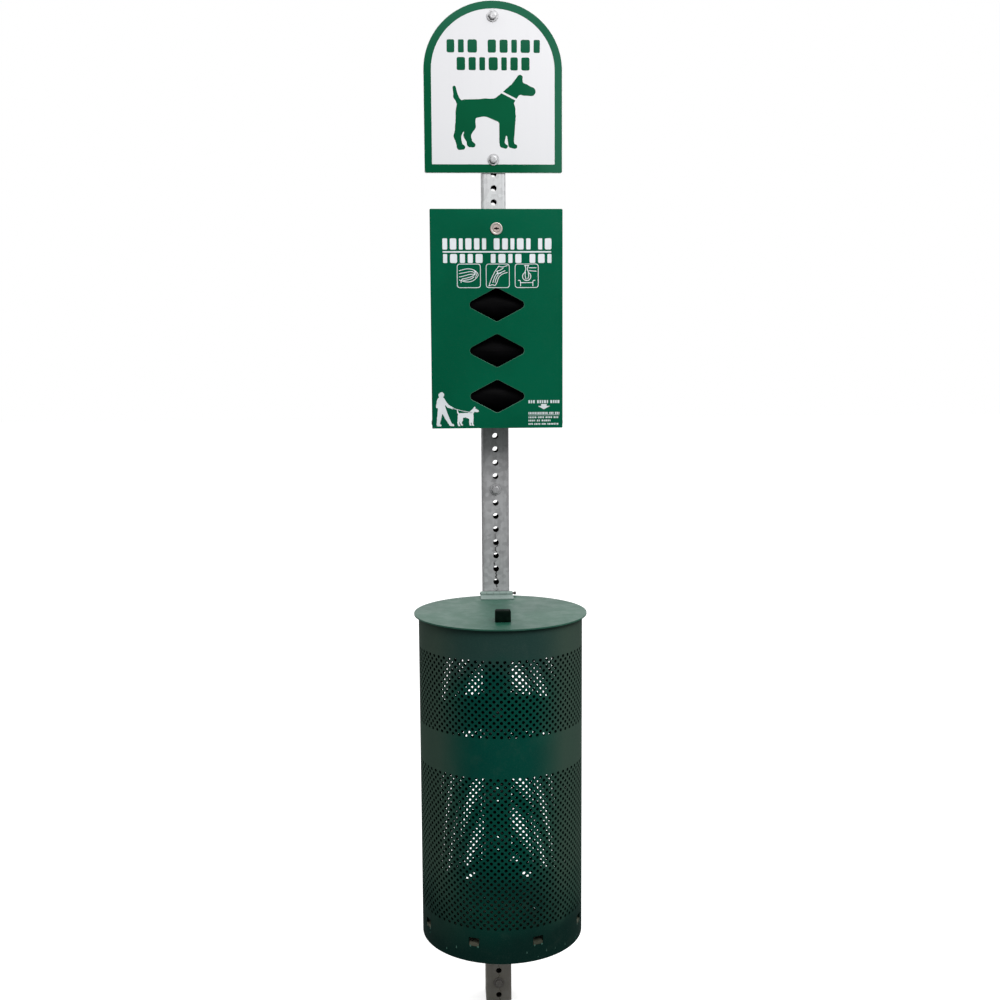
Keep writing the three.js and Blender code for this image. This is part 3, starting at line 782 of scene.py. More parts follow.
def build_post():
    for node in ("post_lower", "post_upper", "ground_anchor"):
        build_tube(node)
    build_soil()


# ---- fasteners ----

ROUND = 36
THREAD_LENGTH = 20 * MM
THREAD_PITCH = 1.41 * MM
THREAD_DEPTH = 0.75 * MM


def round_ring(middle, radius):
    """Points round the Y axis; radius may be a number or a function of the angle."""
    ring = []
    for i in range(ROUND):
        angle = FULL_TURN * i / ROUND
        r = radius(angle) if callable(radius) else radius
        ring.append(Vector((middle.x + r * math.cos(angle), middle.y, middle.z - r * math.sin(angle))))
    return ring


def hexagon(across_flats):
    """The distance from a hexagon's middle to its edge, by angle."""
    return lambda angle: across_flats / 2 / math.cos((angle % (math.pi / 3)) - math.pi / 6)


def chamfer_ring(middle, across_flats, slope):
    """The scalloped edge where a cone meets the hexagon's sides; slope is +1 or -1 along Y."""
    shape = hexagon(across_flats)
    ring = round_ring(middle, shape)
    for i, point in enumerate(ring):
        overhang = shape(FULL_TURN * i / ROUND) - across_flats / 2
        point.y += slope * overhang * math.tan(math.radians(30))
    return ring


def build_bolt(node):
    """A hex bolt pointing back along Y, threaded at its end."""
    low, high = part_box(node)
    middle = (low + high) / 2
    across_flats, length = high.x - low.x, high.y - low.y
    rim = across_flats * 0.48
    under_head = 5.3 * MM
    shank = 3.95 * MM
    thread_start = length - THREAD_LENGTH

    def at(distance):
        return Vector((middle.x, low.y + distance, middle.z))

    rings = [
        round_ring(at(0), across_flats * 0.3),
        round_ring(at(0), across_flats * 0.47),
        chamfer_ring(at(0.15 * MM), across_flats, 1),
        round_ring(at(under_head - 0.4 * MM), hexagon(across_flats)),
        round_ring(at(under_head - 0.4 * MM), rim),
        round_ring(at(under_head), rim),
        round_ring(at(under_head), shank),
        round_ring(at(thread_start - 0.5 * MM), shank),
    ]
    for step in range(int((THREAD_LENGTH - 1.2 * MM) / (THREAD_PITCH / 4))):
        distance = thread_start + step * THREAD_PITCH / 4

        def groove(angle, distance=distance):
            phase = (distance / THREAD_PITCH + angle / FULL_TURN) % 1
            return shank - THREAD_DEPTH * (1 - abs(2 * phase - 1))

        rings.append(round_ring(at(distance), groove))
    rings.append(round_ring(at(length - 1 * MM), shank - THREAD_DEPTH))
    rings.append(round_ring(at(length), shank - 1.4 * MM))
    loft(f"{node}_hex", rings, ZINC, node=node, sharp=50)


def build_nut(node, bore_radius=4.05 * MM, countersink=0.8 * MM, ease=0.1 * MM):
    low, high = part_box(node)
    across_flats = high.x - low.x
    rim = across_flats * 0.48
    middle = (low + high) / 2
    front, back = (Vector((middle.x, y, middle.z)) for y in (low.y, high.y))
    sink, step = Vector((0, countersink, 0)), Vector((0, ease, 0))
    rings = [round_ring(back - sink, bore_radius), round_ring(front + sink, bore_radius)]
    if countersink:
        rings.append(round_ring(front, bore_radius + countersink))
    rings += [
        round_ring(front, rim),
        chamfer_ring(front + step, across_flats, 1),
        chamfer_ring(back - step, across_flats, -1),
        round_ring(back, rim),
    ]
    if countersink:
        rings.append(round_ring(back, bore_radius + countersink))
    loft(f"{node}_hex", rings, ZINC, closed=True, node=node, sharp=30)


def build_washer(node, inner=4.3 * MM, ease=0.35 * MM):
    outer, thickness = round_size(node, ALONG_Y)
    turned_node(node, "pressed", ALONG_Y, ring_profile(inner, outer, 0, thickness, ease), ZINC)


def build_fasteners():
    for kind, build in (("bolt", build_bolt), ("washer", build_washer), ("nut", build_nut)):
        build(f"anchor_{kind}")
        build(f"splice_{kind}")
        for held in ("sign", "dispenser", "can"):
            for end in ENDS:
                build(f"{held}_{kind}_{end}")
    build_washer("dispenser_spacer", 4.4 * MM, 0.2 * MM)


# ---- printed pictograms ----

PRINT_DEPTH = 0.12 * MM
PRINT_LIFT = 0.02 * MM


def stroke_distance(x, y, start, end):
    """Distance to a tapered stroke between two (x, y, radius) dots, negative inside it."""
    (x0, y0, r0), (x1, y1, r1) = start, end
    dx, dy = x1 - x0, y1 - y0
    along = np.clip(((x - x0) * dx + (y - y0) * dy) / max(dx * dx + dy * dy, 1e-9), 0, 1)
    return np.hypot(x - x0 - along * dx, y - y0 - along * dy) - (r0 + (r1 - r0) * along)


def melt(a, b, softness):
    """The smaller of two distances, with the crease between them filled."""
    share = np.clip(0.5 + 0.5 * (b - a) / softness, 0, 1)
    return b + (a - b) * share - softness * share * (1 - share)


def outlines_of(lines, gaps=(), softness=3.0, step=0.8):
    """Closed outlines, in mm, of lines melted together with the gaps cut out; outer ones anticlockwise.

    Each line or gap is a row of (x, y, radius) dots, with a tapered stroke from each dot to the next.
    """
    dots = [dot for line in lines for dot in line]
    xs, ys = (
        np.arange(min(dot[i] - dot[2] for dot in dots) - 2 * step,
                  max(dot[i] + dot[2] for dot in dots) + 3 * step, step)
        for i in range(2)
    )
    x, y = np.meshgrid(xs, ys, indexing="ij")

    def distances(rows):
        return [stroke_distance(x, y, *ends) for row in rows for ends in zip(row, row[1:])]

    field, *others = distances(lines)
    for distance in others:
        field = melt(field, distance, softness)
    for distance in distances(gaps):
        field = np.maximum(field, -distance)
    return trace(field, xs, ys)


def trace(field, xs, ys):
    """Follows the zero line of a field and returns its loops, each with the inside on its left."""
    inside = field < 0
    follow = {}

    def crossing(i, j, k, m):
        """Where the zero line cuts the grid edge from point (i, j) to (k, m)."""
        if (i, j) > (k, m):
            i, j, k, m = k, m, i, j
        share = field[i, j] / (field[i, j] - field[k, m])
        return (i, j, k, m), (xs[i] + (xs[k] - xs[i]) * share, ys[j] + (ys[m] - ys[j]) * share)

    places = {}
    rows, columns = np.nonzero(
        (inside[:-1, :-1] != inside[1:, :-1])
        | (inside[:-1, :-1] != inside[:-1, 1:])
        | (inside[:-1, :-1] != inside[1:, 1:])
    )
    for i, j in zip(rows.tolist(), columns.tolist()):
        corners = [(i, j), (i + 1, j), (i + 1, j + 1), (i, j + 1)]
        leaving, entering = [], []
        for n in range(4):
            a, b = corners[n], corners[(n + 1) % 4]
            if inside[a] != inside[b]:
                key, spot = crossing(*a, *b)
                places[key] = spot
                (leaving if inside[a] else entering).append((n, key))
        for n, key in leaving:
            after = min(entering, key=lambda other: (other[0] - n) % 4)
            follow[key] = after[1]
    loops = []
    while follow:
        start = next(iter(follow))
        loop, here = [], start
        while here in follow:
            loop.append(places[here])
            here = follow.pop(here)
        if len(loop) > 5:
            loops.append(loop)
    return loops


def loop_area(loop):
    """The area of a loop, negative if it runs clockwise."""
    return sum(a[0] * b[1] - b[0] * a[1] for a, b in zip(loop, loop[1:] + loop[:1])) / 2


def print_loops(name, loops, place, material, node):
    """Prints closed outlines, in mm, as one thin layer; a clockwise loop is a hole in the one round it."""
    outers = sorted((loop for loop in loops if loop_area(loop) > 0), key=loop_area)
    holes = {i: [] for i in range(len(outers))}
    for loop in loops:
        if loop_area(loop) < 0:
            holes[next(i for i, outer in enumerate(outers) if inside_loop(loop[0], outer))].append(loop)
    points, faces = [], []
    for i, outer in enumerate(outers):
        scaled = [[(u * MM, v * MM) for u, v in loop] for loop in [outer] + holes[i]]
        add_slab(points, faces, scaled, place, PRINT_DEPTH)
    make_object(name, points, faces, material, node, stands_in=False)


def inside_loop(point, loop):
    """Whether a point lies inside a loop: a line to its right crosses the loop an odd number of times."""
    x, y = point
    crossings = 0
    for (x0, y0), (x1, y1) in zip(loop, loop[1:] + loop[:1]):
        if (y0 > y) != (y1 > y) and x < x0 + (x1 - x0) * (y - y0) / (y1 - y0):
            crossings += 1
    return crossings % 2 == 1


def word_blocks(left, right, low, high, words):
    """Stand-in lettering, in mm: a plain rounded block for each letter, in words of the given lengths."""
    gap, space = 0.5, -0.45
    widths = []
    for word, length in enumerate(words):
        widths += [1 + 0.28 * math.sin(2.4 * i + 1.7 * word + length) for i in range(length)] + [space]
    widths.pop()
    unit = (right - left) / (sum(abs(w) + gap for w in widths) - gap)
    loops = []
    u = left
    for width in widths:
        if width > 0:
            ease = min(width * unit * 0.2, (high - low) * 0.2)
            loops.append(rounded(rectangle(u, low, u + width * unit, high), ease, 3))
        u += (abs(width) + gap) * unit
    return loops


def moved(lines, scale, dx, dy):
    """The same lines at another size and place."""
    return [[(x * scale + dx, y * scale + dy, r * scale) for x, y, r in line] for line in lines]


# Body, neck, head, muzzle, ear, tail, then two forelegs and two hind legs with their paws.
DOG = [
    [(-50, 113, 18), (-14, 117, 15), (18, 112, 23)],
    [(18, 124, 16), (38, 146, 12)],
    [(47, 152, 12), (58, 149, 9.5)],
    [(58, 148, 9.5), (70, 145.5, 8)],
    [(45, 158, 9), (49.5, 170, 5)],
    [(-60, 122, 5), (-68, 136, 4), (-71, 152, 3)],
    [(30.5, 100, 11), (32.5, 56, 5.4)],
    [(33, 50, 5), (40, 47.5, 4)],
    [(20, 96, 9), (16, 56, 5)],
    [(16.5, 50, 4.6), (22.5, 47.5, 3.8)],
    [(-55, 104, 14), (-60, 84, 9.5)],
    [(-60, 84, 9), (-66, 66, 6.2), (-62, 50, 5.2)],
    [(-62, 46, 4.8), (-56, 46, 4.2)],
    [(-46, 102, 14), (-42, 84, 9.5)],
    [(-42, 84, 9), (-48, 67, 6), (-43, 54, 5)],
    [(-43, 51, 4.8), (-37, 50, 4.2)],
]
DOG_COLLAR = [[(16, 144, 1.8), (50, 127, 1.8)]]

# Head, trunk, the arm with the lead, the other arm, then two legs with their feet.
PERSON = [
    [(-0.5, 58.5, 4.8), (0.5, 59.5, 4.8)],
    [(-0.5, 48, 7.6), (0.5, 34, 6.4)],
    [(4, 48, 3.2), (13, 38, 2.3), (21, 34.5, 1.8)],
    [(-5, 48, 3.2), (-8, 37, 2.3)],
    [(-1.5, 33, 5.2), (-4.5, 16, 3.8), (-6.5, 4, 2.8)],
    [(-6.5, 3.2, 2.3), (-2.2, 2.4, 1.9)],
    [(3, 33, 5.2), (10, 17, 3.8), (16.5, 5, 2.8)],
    [(17, 3.8, 2.3), (21.8, 2.6, 1.9)],
]


# ---- sign ----


def arched_outline(inset=0.0, inset_bottom=None, corner=2.5 * MM):
    """The sign's outline, or one set in from it, about the middle of its bottom edge."""
    half = (SIGN_HIGH.x - SIGN_LOW.x) / 2 - inset
    height = SIGN_HIGH.z - SIGN_LOW.z
    spring = 0.6 * height
    rise = height - spring - inset
    foot = inset if inset_bottom is None else inset_bottom
    steps = 64
    outline = rounded(rectangle(-half, foot, half, spring), corner)[:10]
    for i in range(steps + 1):
        angle = math.pi * i / steps
        outline.append((half * math.cos(angle), spring + rise * math.sin(angle)))
    return outline


def build_sign():
    """The arched panel: enamel in front, bare metal on its edges and back."""
    drills = [circle(0, centre(f"sign_bolt_{end}").z - SIGN_LOW.z, BOLT_HOLE, 24) for end in ENDS]
    panel = flat_slab("sign_plate", arched_outline(), drills, facing_front(SIGN_LOW.y, 0, SIGN_LOW.z),
                      SIGN_HIGH.y - SIGN_LOW.y, [ENAMEL, ALUMINIUM], node="sign_panel")
    for face in panel.data.polygons:
        face.material_index = 0 if face.normal.y < -0.5 else 1
    soften(panel, 0.3 * MM)


def build_sign_print():
    """A green border, a dog, and blocks where the words would be."""
    place = facing_front(SIGN_LOW.y - PRINT_DEPTH - PRINT_LIFT, 0, SIGN_LOW.z)
    border = 14 * MM
    edge = [(u / MM, v / MM) for u, v in arched_outline(0.5 * MM)]
    window = [(u / MM, v / MM) for u, v in arched_outline(border, border + 1.5 * MM, 1 * MM)]
    prints = {
        "border": [edge, list(reversed(window))],
        "dog": outlines_of(DOG, DOG_COLLAR, softness=3.6),
        "words": word_blocks(-84, 86, 213.5, 236.5, (3, 5)) + word_blocks(-66, 67, 182.5, 205.5, (7,)),
    }
    for name, loops in prints.items():
        print_loops(f"sign_{name}", loops, place, SIGN_INK, "sign_panel")


# ---- dispenser ----

SHEET_METAL = 1.8 * MM
OPENING_HALF = (57.3 * MM, 30.1 * MM)
OPENING_CORNER = 7.5 * MM
LOCK_SLEEVE = 9.2 * MM


def open_box(name, low, high, open_sides, bend):
    """A folded box of sheet metal between two corners; open_sides lists the directions without a wall."""
    work = bmesh.new()
    bmesh.ops.create_cube(work, size=1.0)
    size, middle = high - low, (low + high) / 2
    for vertex in work.verts:
        vertex.co = Vector(middle[i] + vertex.co[i] * size[i] for i in range(3))
    work.normal_update()
    gone = [f for f in work.faces if any(f.normal.dot(Vector(side)) > 0.9 for side in open_sides)]
    bmesh.ops.delete(work, geom=gone, context="FACES")
    bends = [e for e in work.edges if len(e.link_faces) == 2]
    bmesh.ops.bevel(work, geom=bends, offset=bend, segments=4, profile=0.5, affect="EDGES")
    mesh = bpy.data.meshes.new(name)
    work.to_mesh(mesh)
    work.free()
    mesh.materials.append(DOOR_GREEN)
    thing = add_to_scene(name, mesh)
    wall = thing.modifiers.new("wall", "SOLIDIFY")
    wall.thickness = SHEET_METAL
    wall.offset = -1
    wall.use_even_offset = True
    return thing


def front_cutters(outlines, y_front, y_back):
    """Prisms that cut back from the front, with these (x, z) outlines."""
    place, depth = facing_front(y_front), y_back - y_front
    return [flat_slab("front_cutter", outline, [], place, depth, DOOR_GREEN) for outline in outlines]


def bore(node, radius, reach):
    """A round cutter through a node's middle, reaching this far both ways."""
    reach = Vector(reach)
    profile = [(radius, 0), (radius, 2 * reach.length)]
    start = centre(node) - reach
    return turned(f"cut_{node}", profile, start, reach.normalized(), DOOR_GREEN, 32, False)


def pivot_bores():
    return [bore(f"door_pivot_{side}", 3.06 * MM, (6 * MM, 0, 0)) for side in ("left", "right")]


def diamond(z):
    """The outline of the opening in front of a roll at this height."""
    half_width, half_height = OPENING_HALF
    corners = [(-half_width, z), (0, z - half_height), (half_width, z), (0, z + half_height)]
    return rounded(corners, OPENING_CORNER, 12)


def build_door():
    door = open_box("dispenser_front_door", DOOR_LOW, DOOR_HIGH, [(0, 1, 0), (0, 0, -1)], 2.2 * MM)
    lock = centre("lock_barrel")
    outlines = [diamond(ROLL_Z[level]) for level in LEVELS] + [circle(lock.x, lock.z, 9.5 * MM, 32)]
    cutters = front_cutters(outlines, DOOR_FRONT - 10 * MM, DOOR_FRONT + 10 * MM)
    cut_away(door, cutters + pivot_bores())
    attach(door, "dispenser_door")
    soften(door, 0.5 * MM)
    # The rounded edges take the lighter edge paint: wear and painted highlight.
    door.data.materials.append(DOOR_EDGE)
    door.modifiers["soft_edges"].material = 1


def build_pan():
    low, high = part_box("dispenser_pan")
    pan = open_box("dispenser_back_pan", low, high, [(0, -1, 0)], 2.0 * MM)
    cutters = [bore(f"roll_spindle_{level}", 9.2 * MM, (high.x + 10 * MM, 0, 0)) for level in LEVELS]
    cutters += [bore(f"dispenser_bolt_{end}", BOLT_HOLE, (0, 40 * MM, 0)) for end in ENDS]
    cutters += pivot_bores() + [bore("catch_rivet", 2.2 * MM, (0, 0, 9 * MM))]
    cut_away(pan, cutters)
    attach(pan, "dispenser_pan")
    soften(pan, 0.3 * MM)


def icon_frame(u, v, half):
    """A rounded square outline, in mm, as an outer loop and a hole."""
    inner = half - 1.1
    outer = rounded(rectangle(u - half, v - half, u + half, v + half), 5, 5)
    hole = rounded(rectangle(u - inner, v - inner, u + inner, v + inner), 4.2, 5)
    return [outer, list(reversed(hole))]


def eased(line):
    """The same open line with its corners cut, so that it reads as a curve."""
    points = [line[0]]
    for (x0, y0), (x1, y1) in zip(line, line[1:]):
        points += [(x0 + (x1 - x0) * share, y0 + (y1 - y0) * share) for share in (0.25, 0.75)]
    return points + [line[-1]]


def line_art(lines, u, v, radius=0.55):
    """Thin strokes through rows of points, about (u, v), in mm."""
    curves = [[(u + x, v + y, radius) for x, y in eased(eased(line))] for line in lines]
    return outlines_of(curves, softness=0.4, step=0.3)


def arc_points(x, y, radius, start, end, steps=8):
    """Points along an arc, angles in degrees."""
    angles = [math.radians(start + (end - start) * i / steps) for i in range(steps + 1)]
    return [(x + radius * math.cos(a), y + radius * math.sin(a)) for a in angles]


# A hand in a bag, a bag drawn closed, and a tied bag above a bin.
ICON_HAND_IN_BAG = [
    [(-17, -7), (-6, -11), (6, -10), (16, -2), (17, 4), (9, 11), (-3, 13), (-17, 9)],
    [(-17, 4), (-6, 6), (4, 8), (10, 6), (11, 3)],
    [(-17, -2), (-8, 0), (2, 3), (11, 3)],
    [(-9, -5), (0, -3), (8, 0), (11, 3)],
    [(-10, -8), (-2, -7), (5, -5), (9, -2)],
    arc_points(-9, -10, 5, 100, 200, 5),
    [(12, -3), (14, 3), (10, 9)],
]
ICON_BAG_DRAWN = [
    [(-16, -18), (-12, -6), (-5, 8), (2, 17)],
    [(-16, -18), (-9, -15), (-5, -18), (-1, -11), (1, -3), (7, 3), (17, 6)],
    [(2, 17), (8, 15), (17, 18)],
    [(-2, 8), (5, 10), (10, 14)],
    [(-1, 3), (6, 6), (13, 9)],
    [(-9, -12), (-5, 0), (0, 6)],
    [(-5, -12), (-3, -4), (1, 2)],
    arc_points(3, 8, 4, 180, 320, 5),
]
ICON_BAG_AND_BIN = [
    [(-4, 18), (4, 18)],
    [(-3, 18), (-1, 12), (-3, 7)],
    [(3, 18), (1, 12), (3, 7)],
    arc_points(0, -1, 7.5, 112, 428, 14),
    [(-2, 6), (-3, 0), (-1, -6)],
    [(3, 4), (4, -1), (2, -5)],
    [(-15, -8), (-11, -8), (-11, -18)],
    [(15, -8), (11, -8), (11, -18)],
    [(-11, -12), (11, -12)],
    [(4, 14), (17, 14)],
    [(4, 9), (17, 8)],
]


def build_door_print():
    """White print on the door, all of it generic: blocks for words and plain pictograms."""
    height = (DOOR_HIGH.z - DOOR_LOW.z) / MM
    words = word_blocks(-96, 98, height - 71, height - 51.5, (6, 5, 2))
    words.append(rectangle(-95.5, height - 76.3, 97.5, height - 73.9))
    words += word_blocks(-95, 98, height - 94.5, height - 78.8, (5, 4, 3))
    prints = {"words": words}

    row = height - 117
    for i, icon in enumerate((ICON_HAND_IN_BAG, ICON_BAG_DRAWN, ICON_BAG_AND_BIN)):
        u = (i - 1) * 51.6 + 2
        prints[f"icon_{i + 1}"] = icon_frame(u, row, 21.2) + line_art(icon, u, row)

    prints["person"] = outlines_of(moved(PERSON, 0.96, -101, 3.5), softness=1.4, step=0.4)
    prints["dog"] = outlines_of(moved(DOG, 0.26, -54, -6.5), softness=0.8, step=0.35)
    leash = [(-81, 36.5, 0.5), (-63, 31.5, 0.45), (-46, 28.5, 0.45)]
    prints["leash"] = outlines_of([leash], softness=0.2, step=0.25)

    left, right = 56, 112
    notes = word_blocks(left, right, 44.5, 50, (3, 5, 4))
    notes += word_blocks(left, right, 24.8, 28.6, (12, 3, 3))
    notes.append(rectangle(left, 23.0, right, 23.7))
    for foot, short, letters in ((17.6, 2, (5, 4, 4, 3)), (11.8, 16, (4, 2, 5)), (5.6, 2, (3, 4, 3, 7))):
        notes += word_blocks(left, right - short, foot, foot + 3, letters)
    prints["notes"] = notes
    middle = (left + right) / 2
    arrow = [(-5, 43), (-5, 39.5), (-11, 39.5), (0, 33.5), (11, 39.5), (5, 39.5), (5, 43)]
    prints["arrow"] = [[(middle + u, v) for u, v in arrow]]

    place = facing_front(DOOR_FRONT - PRINT_DEPTH - PRINT_LIFT, 0, DOOR_LOW.z)
    for name, loops in prints.items():
        print_loops(f"door_{name}", loops, place, DOOR_INK, "dispenser_door")


def build_lock_barrel():
    flange, length = round_size("lock_barrel", ALONG_Y)
    bore_radius = 6.6 * MM
    dish = flange - 2.6 * MM
    profile = [
        (bore_radius, length), (bore_radius, 1.1 * MM), (dish, 0.8 * MM), (dish + 0.5 * MM, 0.3 * MM),
        (dish + 1.1 * MM, 0.0), (flange - 0.7 * MM, 0.2 * MM), (flange - 0.1 * MM, 0.9 * MM),
        (flange, 1.6 * MM), (flange, 2.4 * MM), (LOCK_SLEEVE, 2.4 * MM), (LOCK_SLEEVE, length - 0.6 * MM),
        (LOCK_SLEEVE - 0.6 * MM, length),
    ]
    turned_node("lock_barrel", "face", ALONG_Y, profile, LOCK_RIM, 48)


def build_lock_plug():
    """The plug with its keyway cut in, and black slabs behind the cut that paint the shade over its wafers."""
    middle = centre("lock_plug")
    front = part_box("lock_plug")[0].y
    radius, length = round_size("lock_plug", ALONG_Y)
    profile = [
        (0.3 * MM, 0), (radius - 0.5 * MM, 0), (radius, 0.5 * MM), (radius, length - 0.4 * MM),
        (radius - 0.4 * MM, length), (0.3 * MM, length),
    ]
    plug = turned_node("lock_plug", "keyed", ALONG_Y, profile, LOCK_FACE, 48, False)
    outlines = [keyway_outline(middle), circle(middle.x, middle.z, 2.2 * MM, 24)]
    cut_away(plug, front_cutters(outlines, front - 2 * MM, front + 6 * MM))
    # Black slabs at the bottom of the keyway and its round well: painted shade.
    fillings = {
        "wafer_shade": (keyway_outline(middle, 0.1 * MM), 1 * MM, 4 * MM),
        "well_shade": (circle(middle.x, middle.z, 2.1 * MM, 24), 1.2 * MM, 0.4 * MM),
    }
    for part, (outline, depth, thickness) in fillings.items():
        flat_slab(f"lock_keyway_{part}", outline, [], facing_front(front + depth), thickness, KEYWAY,
                  node="lock_plug", stands_in=False)


def build_lock_cam():
    """The arm behind the door."""
    low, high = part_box("lock_cam")
    lock = centre("lock_plug")
    outline = rounded(rectangle(low.x, low.z, high.x, high.z), 4.5 * MM, 6)
    cam = flat_slab("lock_cam_arm", outline, [circle(lock.x, lock.z, 2.7 * MM, 20)], facing_front(low.y),
                    high.y - low.y, ZINC, node="lock_cam")
    soften(cam, 0.3 * MM)


def build_cam_screw():
    """The pan-head screw that holds the cam to the plug."""
    head, length = round_size("cam_screw", ALONG_Y)
    shank = 2.4 * MM
    head_start = length - 2.8 * MM
    screw = [
        (0.4 * MM, 0), (shank, 0.4 * MM), (shank, head_start), (head, head_start),
        (head, head_start + 1.6 * MM), (head * 0.7, head_start + 2.6 * MM), (0.6 * MM, length),
    ]
    turned_node("cam_screw", "pan", ALONG_Y, screw, ZINC, 32, False)


def keyway_outline(middle, inset=0.0):
    """A level slot with rounded corners, or one set in from it."""
    half_width, half_height = 4.6 * MM - inset, 1.2 * MM - inset
    outline = rounded(rectangle(-half_width, -half_height, half_width, half_height), 0.6 * MM)
    return [(u + middle.x, v + middle.z) for u, v in outline]


def build_lock():
    build_lock_barrel()
    build_lock_plug()
    build_nut("lock_nut", LOCK_SLEEVE + 0.2 * MM, 0, 0.3 * MM)
    build_lock_cam()
    build_cam_screw()


def build_catch():
    """A bent angle under the top of the dispenser, which the lock's cam hooks behind."""
    low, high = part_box("lock_catch")
    thickness = 2 * MM
    bend = 2.5 * MM
    side = [(low.y, low.z), (low.y + thickness, low.z)]
    side += [(low.y + thickness, high.z - thickness), (high.y, high.z - thickness), (high.y, high.z)]
    side += arc_points(low.y + bend, high.z - bend, bend, 90, 180, 5)

    def place(u, v, depth):
        return Vector((high.x - depth, u, v))

    catch = flat_slab("lock_catch_angle", side, [], place, high.x - low.x, ZINC, node="lock_catch")
    soften(catch, 0.25 * MM)


def build_catch_rivet():
    head, length = round_size("catch_rivet", ALONG_Z)
    shank, cap = 2 * MM, 1.3 * MM
    half = [(head * 0.5, 0), (head * 0.9, cap * 0.4), (head, cap), (shank, cap)]
    turned_node("catch_rivet", "domed", ALONG_Z, mirrored(half, length), ZINC, 24, False)


def build_pivots():
    """The door's two rivets, each with its thinner head outside."""
    inner_head, outer_head, head, shank = 2.0 * MM, 1.2 * MM, 5 * MM, 3 * MM
    for side, out in (("left", -1), ("right", 1)):
        node = f"door_pivot_{side}"
        length = round_size(node, ALONG_X)[1]
        rivet = [
            (head * 0.6, 0), (head, 0.5 * MM), (head, inner_head), (shank, inner_head),
            (shank, length - outer_head), (head, length - outer_head), (head * 0.9, length - 0.4 * MM),
            (head * 0.5, length),
        ]
        turned_node(node, "rivet", (out, 0, 0), rivet, ZINC, 28, False)


def build_bags(level):
    """Bags wound in a slightly loose spiral, with a step where the outer sheet ends and uneven edges."""
    node = f"bag_roll_{level}"
    low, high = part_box(node)
    middle = centre(node)
    radius = (high.z - low.z) / 2
    phase = {"low": 0.4, "mid": 2.3, "top": 4.1}[level]
    around, lengthwise = 120, 60
    core_inset = radius - 11.7 * MM
    rows = [low.x + (high.x - low.x) * i / lengthwise for i in range(lengthwise + 1)]
    end_insets = [radius * share for share in (0.14, 0.28, 0.42, 0.53)]

    def place(angle, x, inset):
        r = radius - inset
        return Vector((x, middle.y - r * math.sin(angle), middle.z + r * math.cos(angle)))

    def sheet_inset(angle, x):
        wave = math.sin(3 * angle + 55 * x + phase) + 0.6 * math.sin(7 * angle - 90 * x + 2 * phase)
        sag = 0.6 + 0.5 * math.cos(angle - phase)
        spiral = ((angle - phase) % FULL_TURN) / FULL_TURN
        return (0.35 + 0.22 * wave + 0.25 * sag + 0.5 * spiral) * MM

    rings = []
    for i in range(around):
        angle = FULL_TURN * i / around
        ruffle = [(0.3 + 0.25 * math.sin(5 * angle + n * 2.1 + phase)) * MM for n in range(len(end_insets))]
        ring = [place(angle, x, sheet_inset(angle, x)) for x in rows]
        ring += [place(angle, high.x - r, inset) for inset, r in zip(end_insets, ruffle)]
        ring += [place(angle, high.x - 0.5 * MM, core_inset), place(angle, low.x + 0.5 * MM, core_inset)]
        ring += reversed([place(angle, low.x + r, inset) for inset, r in zip(end_insets, ruffle)])
        rings.append(ring)
    loft(f"{node}_wound", rings, FILM, closed=True, node=node, sharp=50)


def build_core(level):
    node = f"roll_core_{level}"
    outer, length = round_size(node, ALONG_X)
    turned_node(node, "tube", ALONG_X, ring_profile(outer - 2 * MM, outer, 0, length, 0.3 * MM), CARD, 40)


def build_spindle(level):
    node = f"roll_spindle_{level}"
    radius, length = round_size(node, ALONG_X)
    ease = 0.8 * MM
    half = [(radius - 3 * MM, 0.6 * MM), (radius - 2.4 * MM, 0), (radius - ease, 0), (radius, ease)]
    turned_node(node, "rod", ALONG_X, mirrored(half, length), ZINC, 40, False)


def build_dispenser():
    build_pan()
    build_door()
    build_door_print()
    build_lock()
    build_catch()
    build_catch_rivet()
    build_pivots()
    for level in LEVELS:
        build_bags(level)
        build_core(level)
        build_spindle(level)


# ---- can ----

CAN_SHEET = 3.2 * MM
HOLES_AROUND = 73
ROW_PITCH = 6.16 * MM
PERFORATION = 2.9 * MM
UPPER_ROWS = (767 * MM, 22)
LOWER_ROWS = (562.6 * MM, 44)
COLUMN = FULL_TURN * CAN_RADIUS / HOLES_AROUND / 2
COLUMNS = [i * COLUMN for i in range(2 * HOLES_AROUND + 1)]
SLOT_HALF = 9.75 * MM
SLOT_HEIGHT = 15.4 * MM
SLOT_FOOT = FLOOR_LOW.z - 0.3 * MM
SLOT_TURNS = [FULL_TURN * (i + 0.5) / 8 for i in range(8)]


def can_place(u, v, depth):
    """Wraps u round the can, anticlockwise from its front."""
    angle = u / CAN_RADIUS - math.pi / 2
    radius = CAN_RADIUS - depth
    return Vector((radius * math.cos(angle), CAN_Y + radius * math.sin(angle), v))


def punch_rows(sheet, top_row, rows):
    """Staggered round holes, each in its own diamond of sheet."""
    for row in range(rows):
        v = top_row - row * ROW_PITCH
        for i in range(HOLES_AROUND):
            u = (2 * i + row % 2) * COLUMN
            cell = [(u - COLUMN, v), (u, v - ROW_PITCH), (u + COLUMN, v), (u, v + ROW_PITCH)]
            sheet.ring(cell, circle(u, v, PERFORATION, 12))


def zigzag(v, tip, odd):
    """The toothed edge of a punched band; tip is which way the teeth point."""
    return [(u, v + (tip * ROW_PITCH if i % 2 == odd else 0)) for i, u in enumerate(COLUMNS)]


def fill_teeth(sheet, edge, level):
    """Joins a toothed edge to a straight line at `level`, above or below it."""
    straight = [(u, level) for u in COLUMNS]
    lower, upper = (straight, edge) if level < min(v for _, v in edge) else (edge, straight)
    for i in range(len(COLUMNS) - 1):
        sheet.face(lower[i], lower[i + 1], upper[i + 1], upper[i])


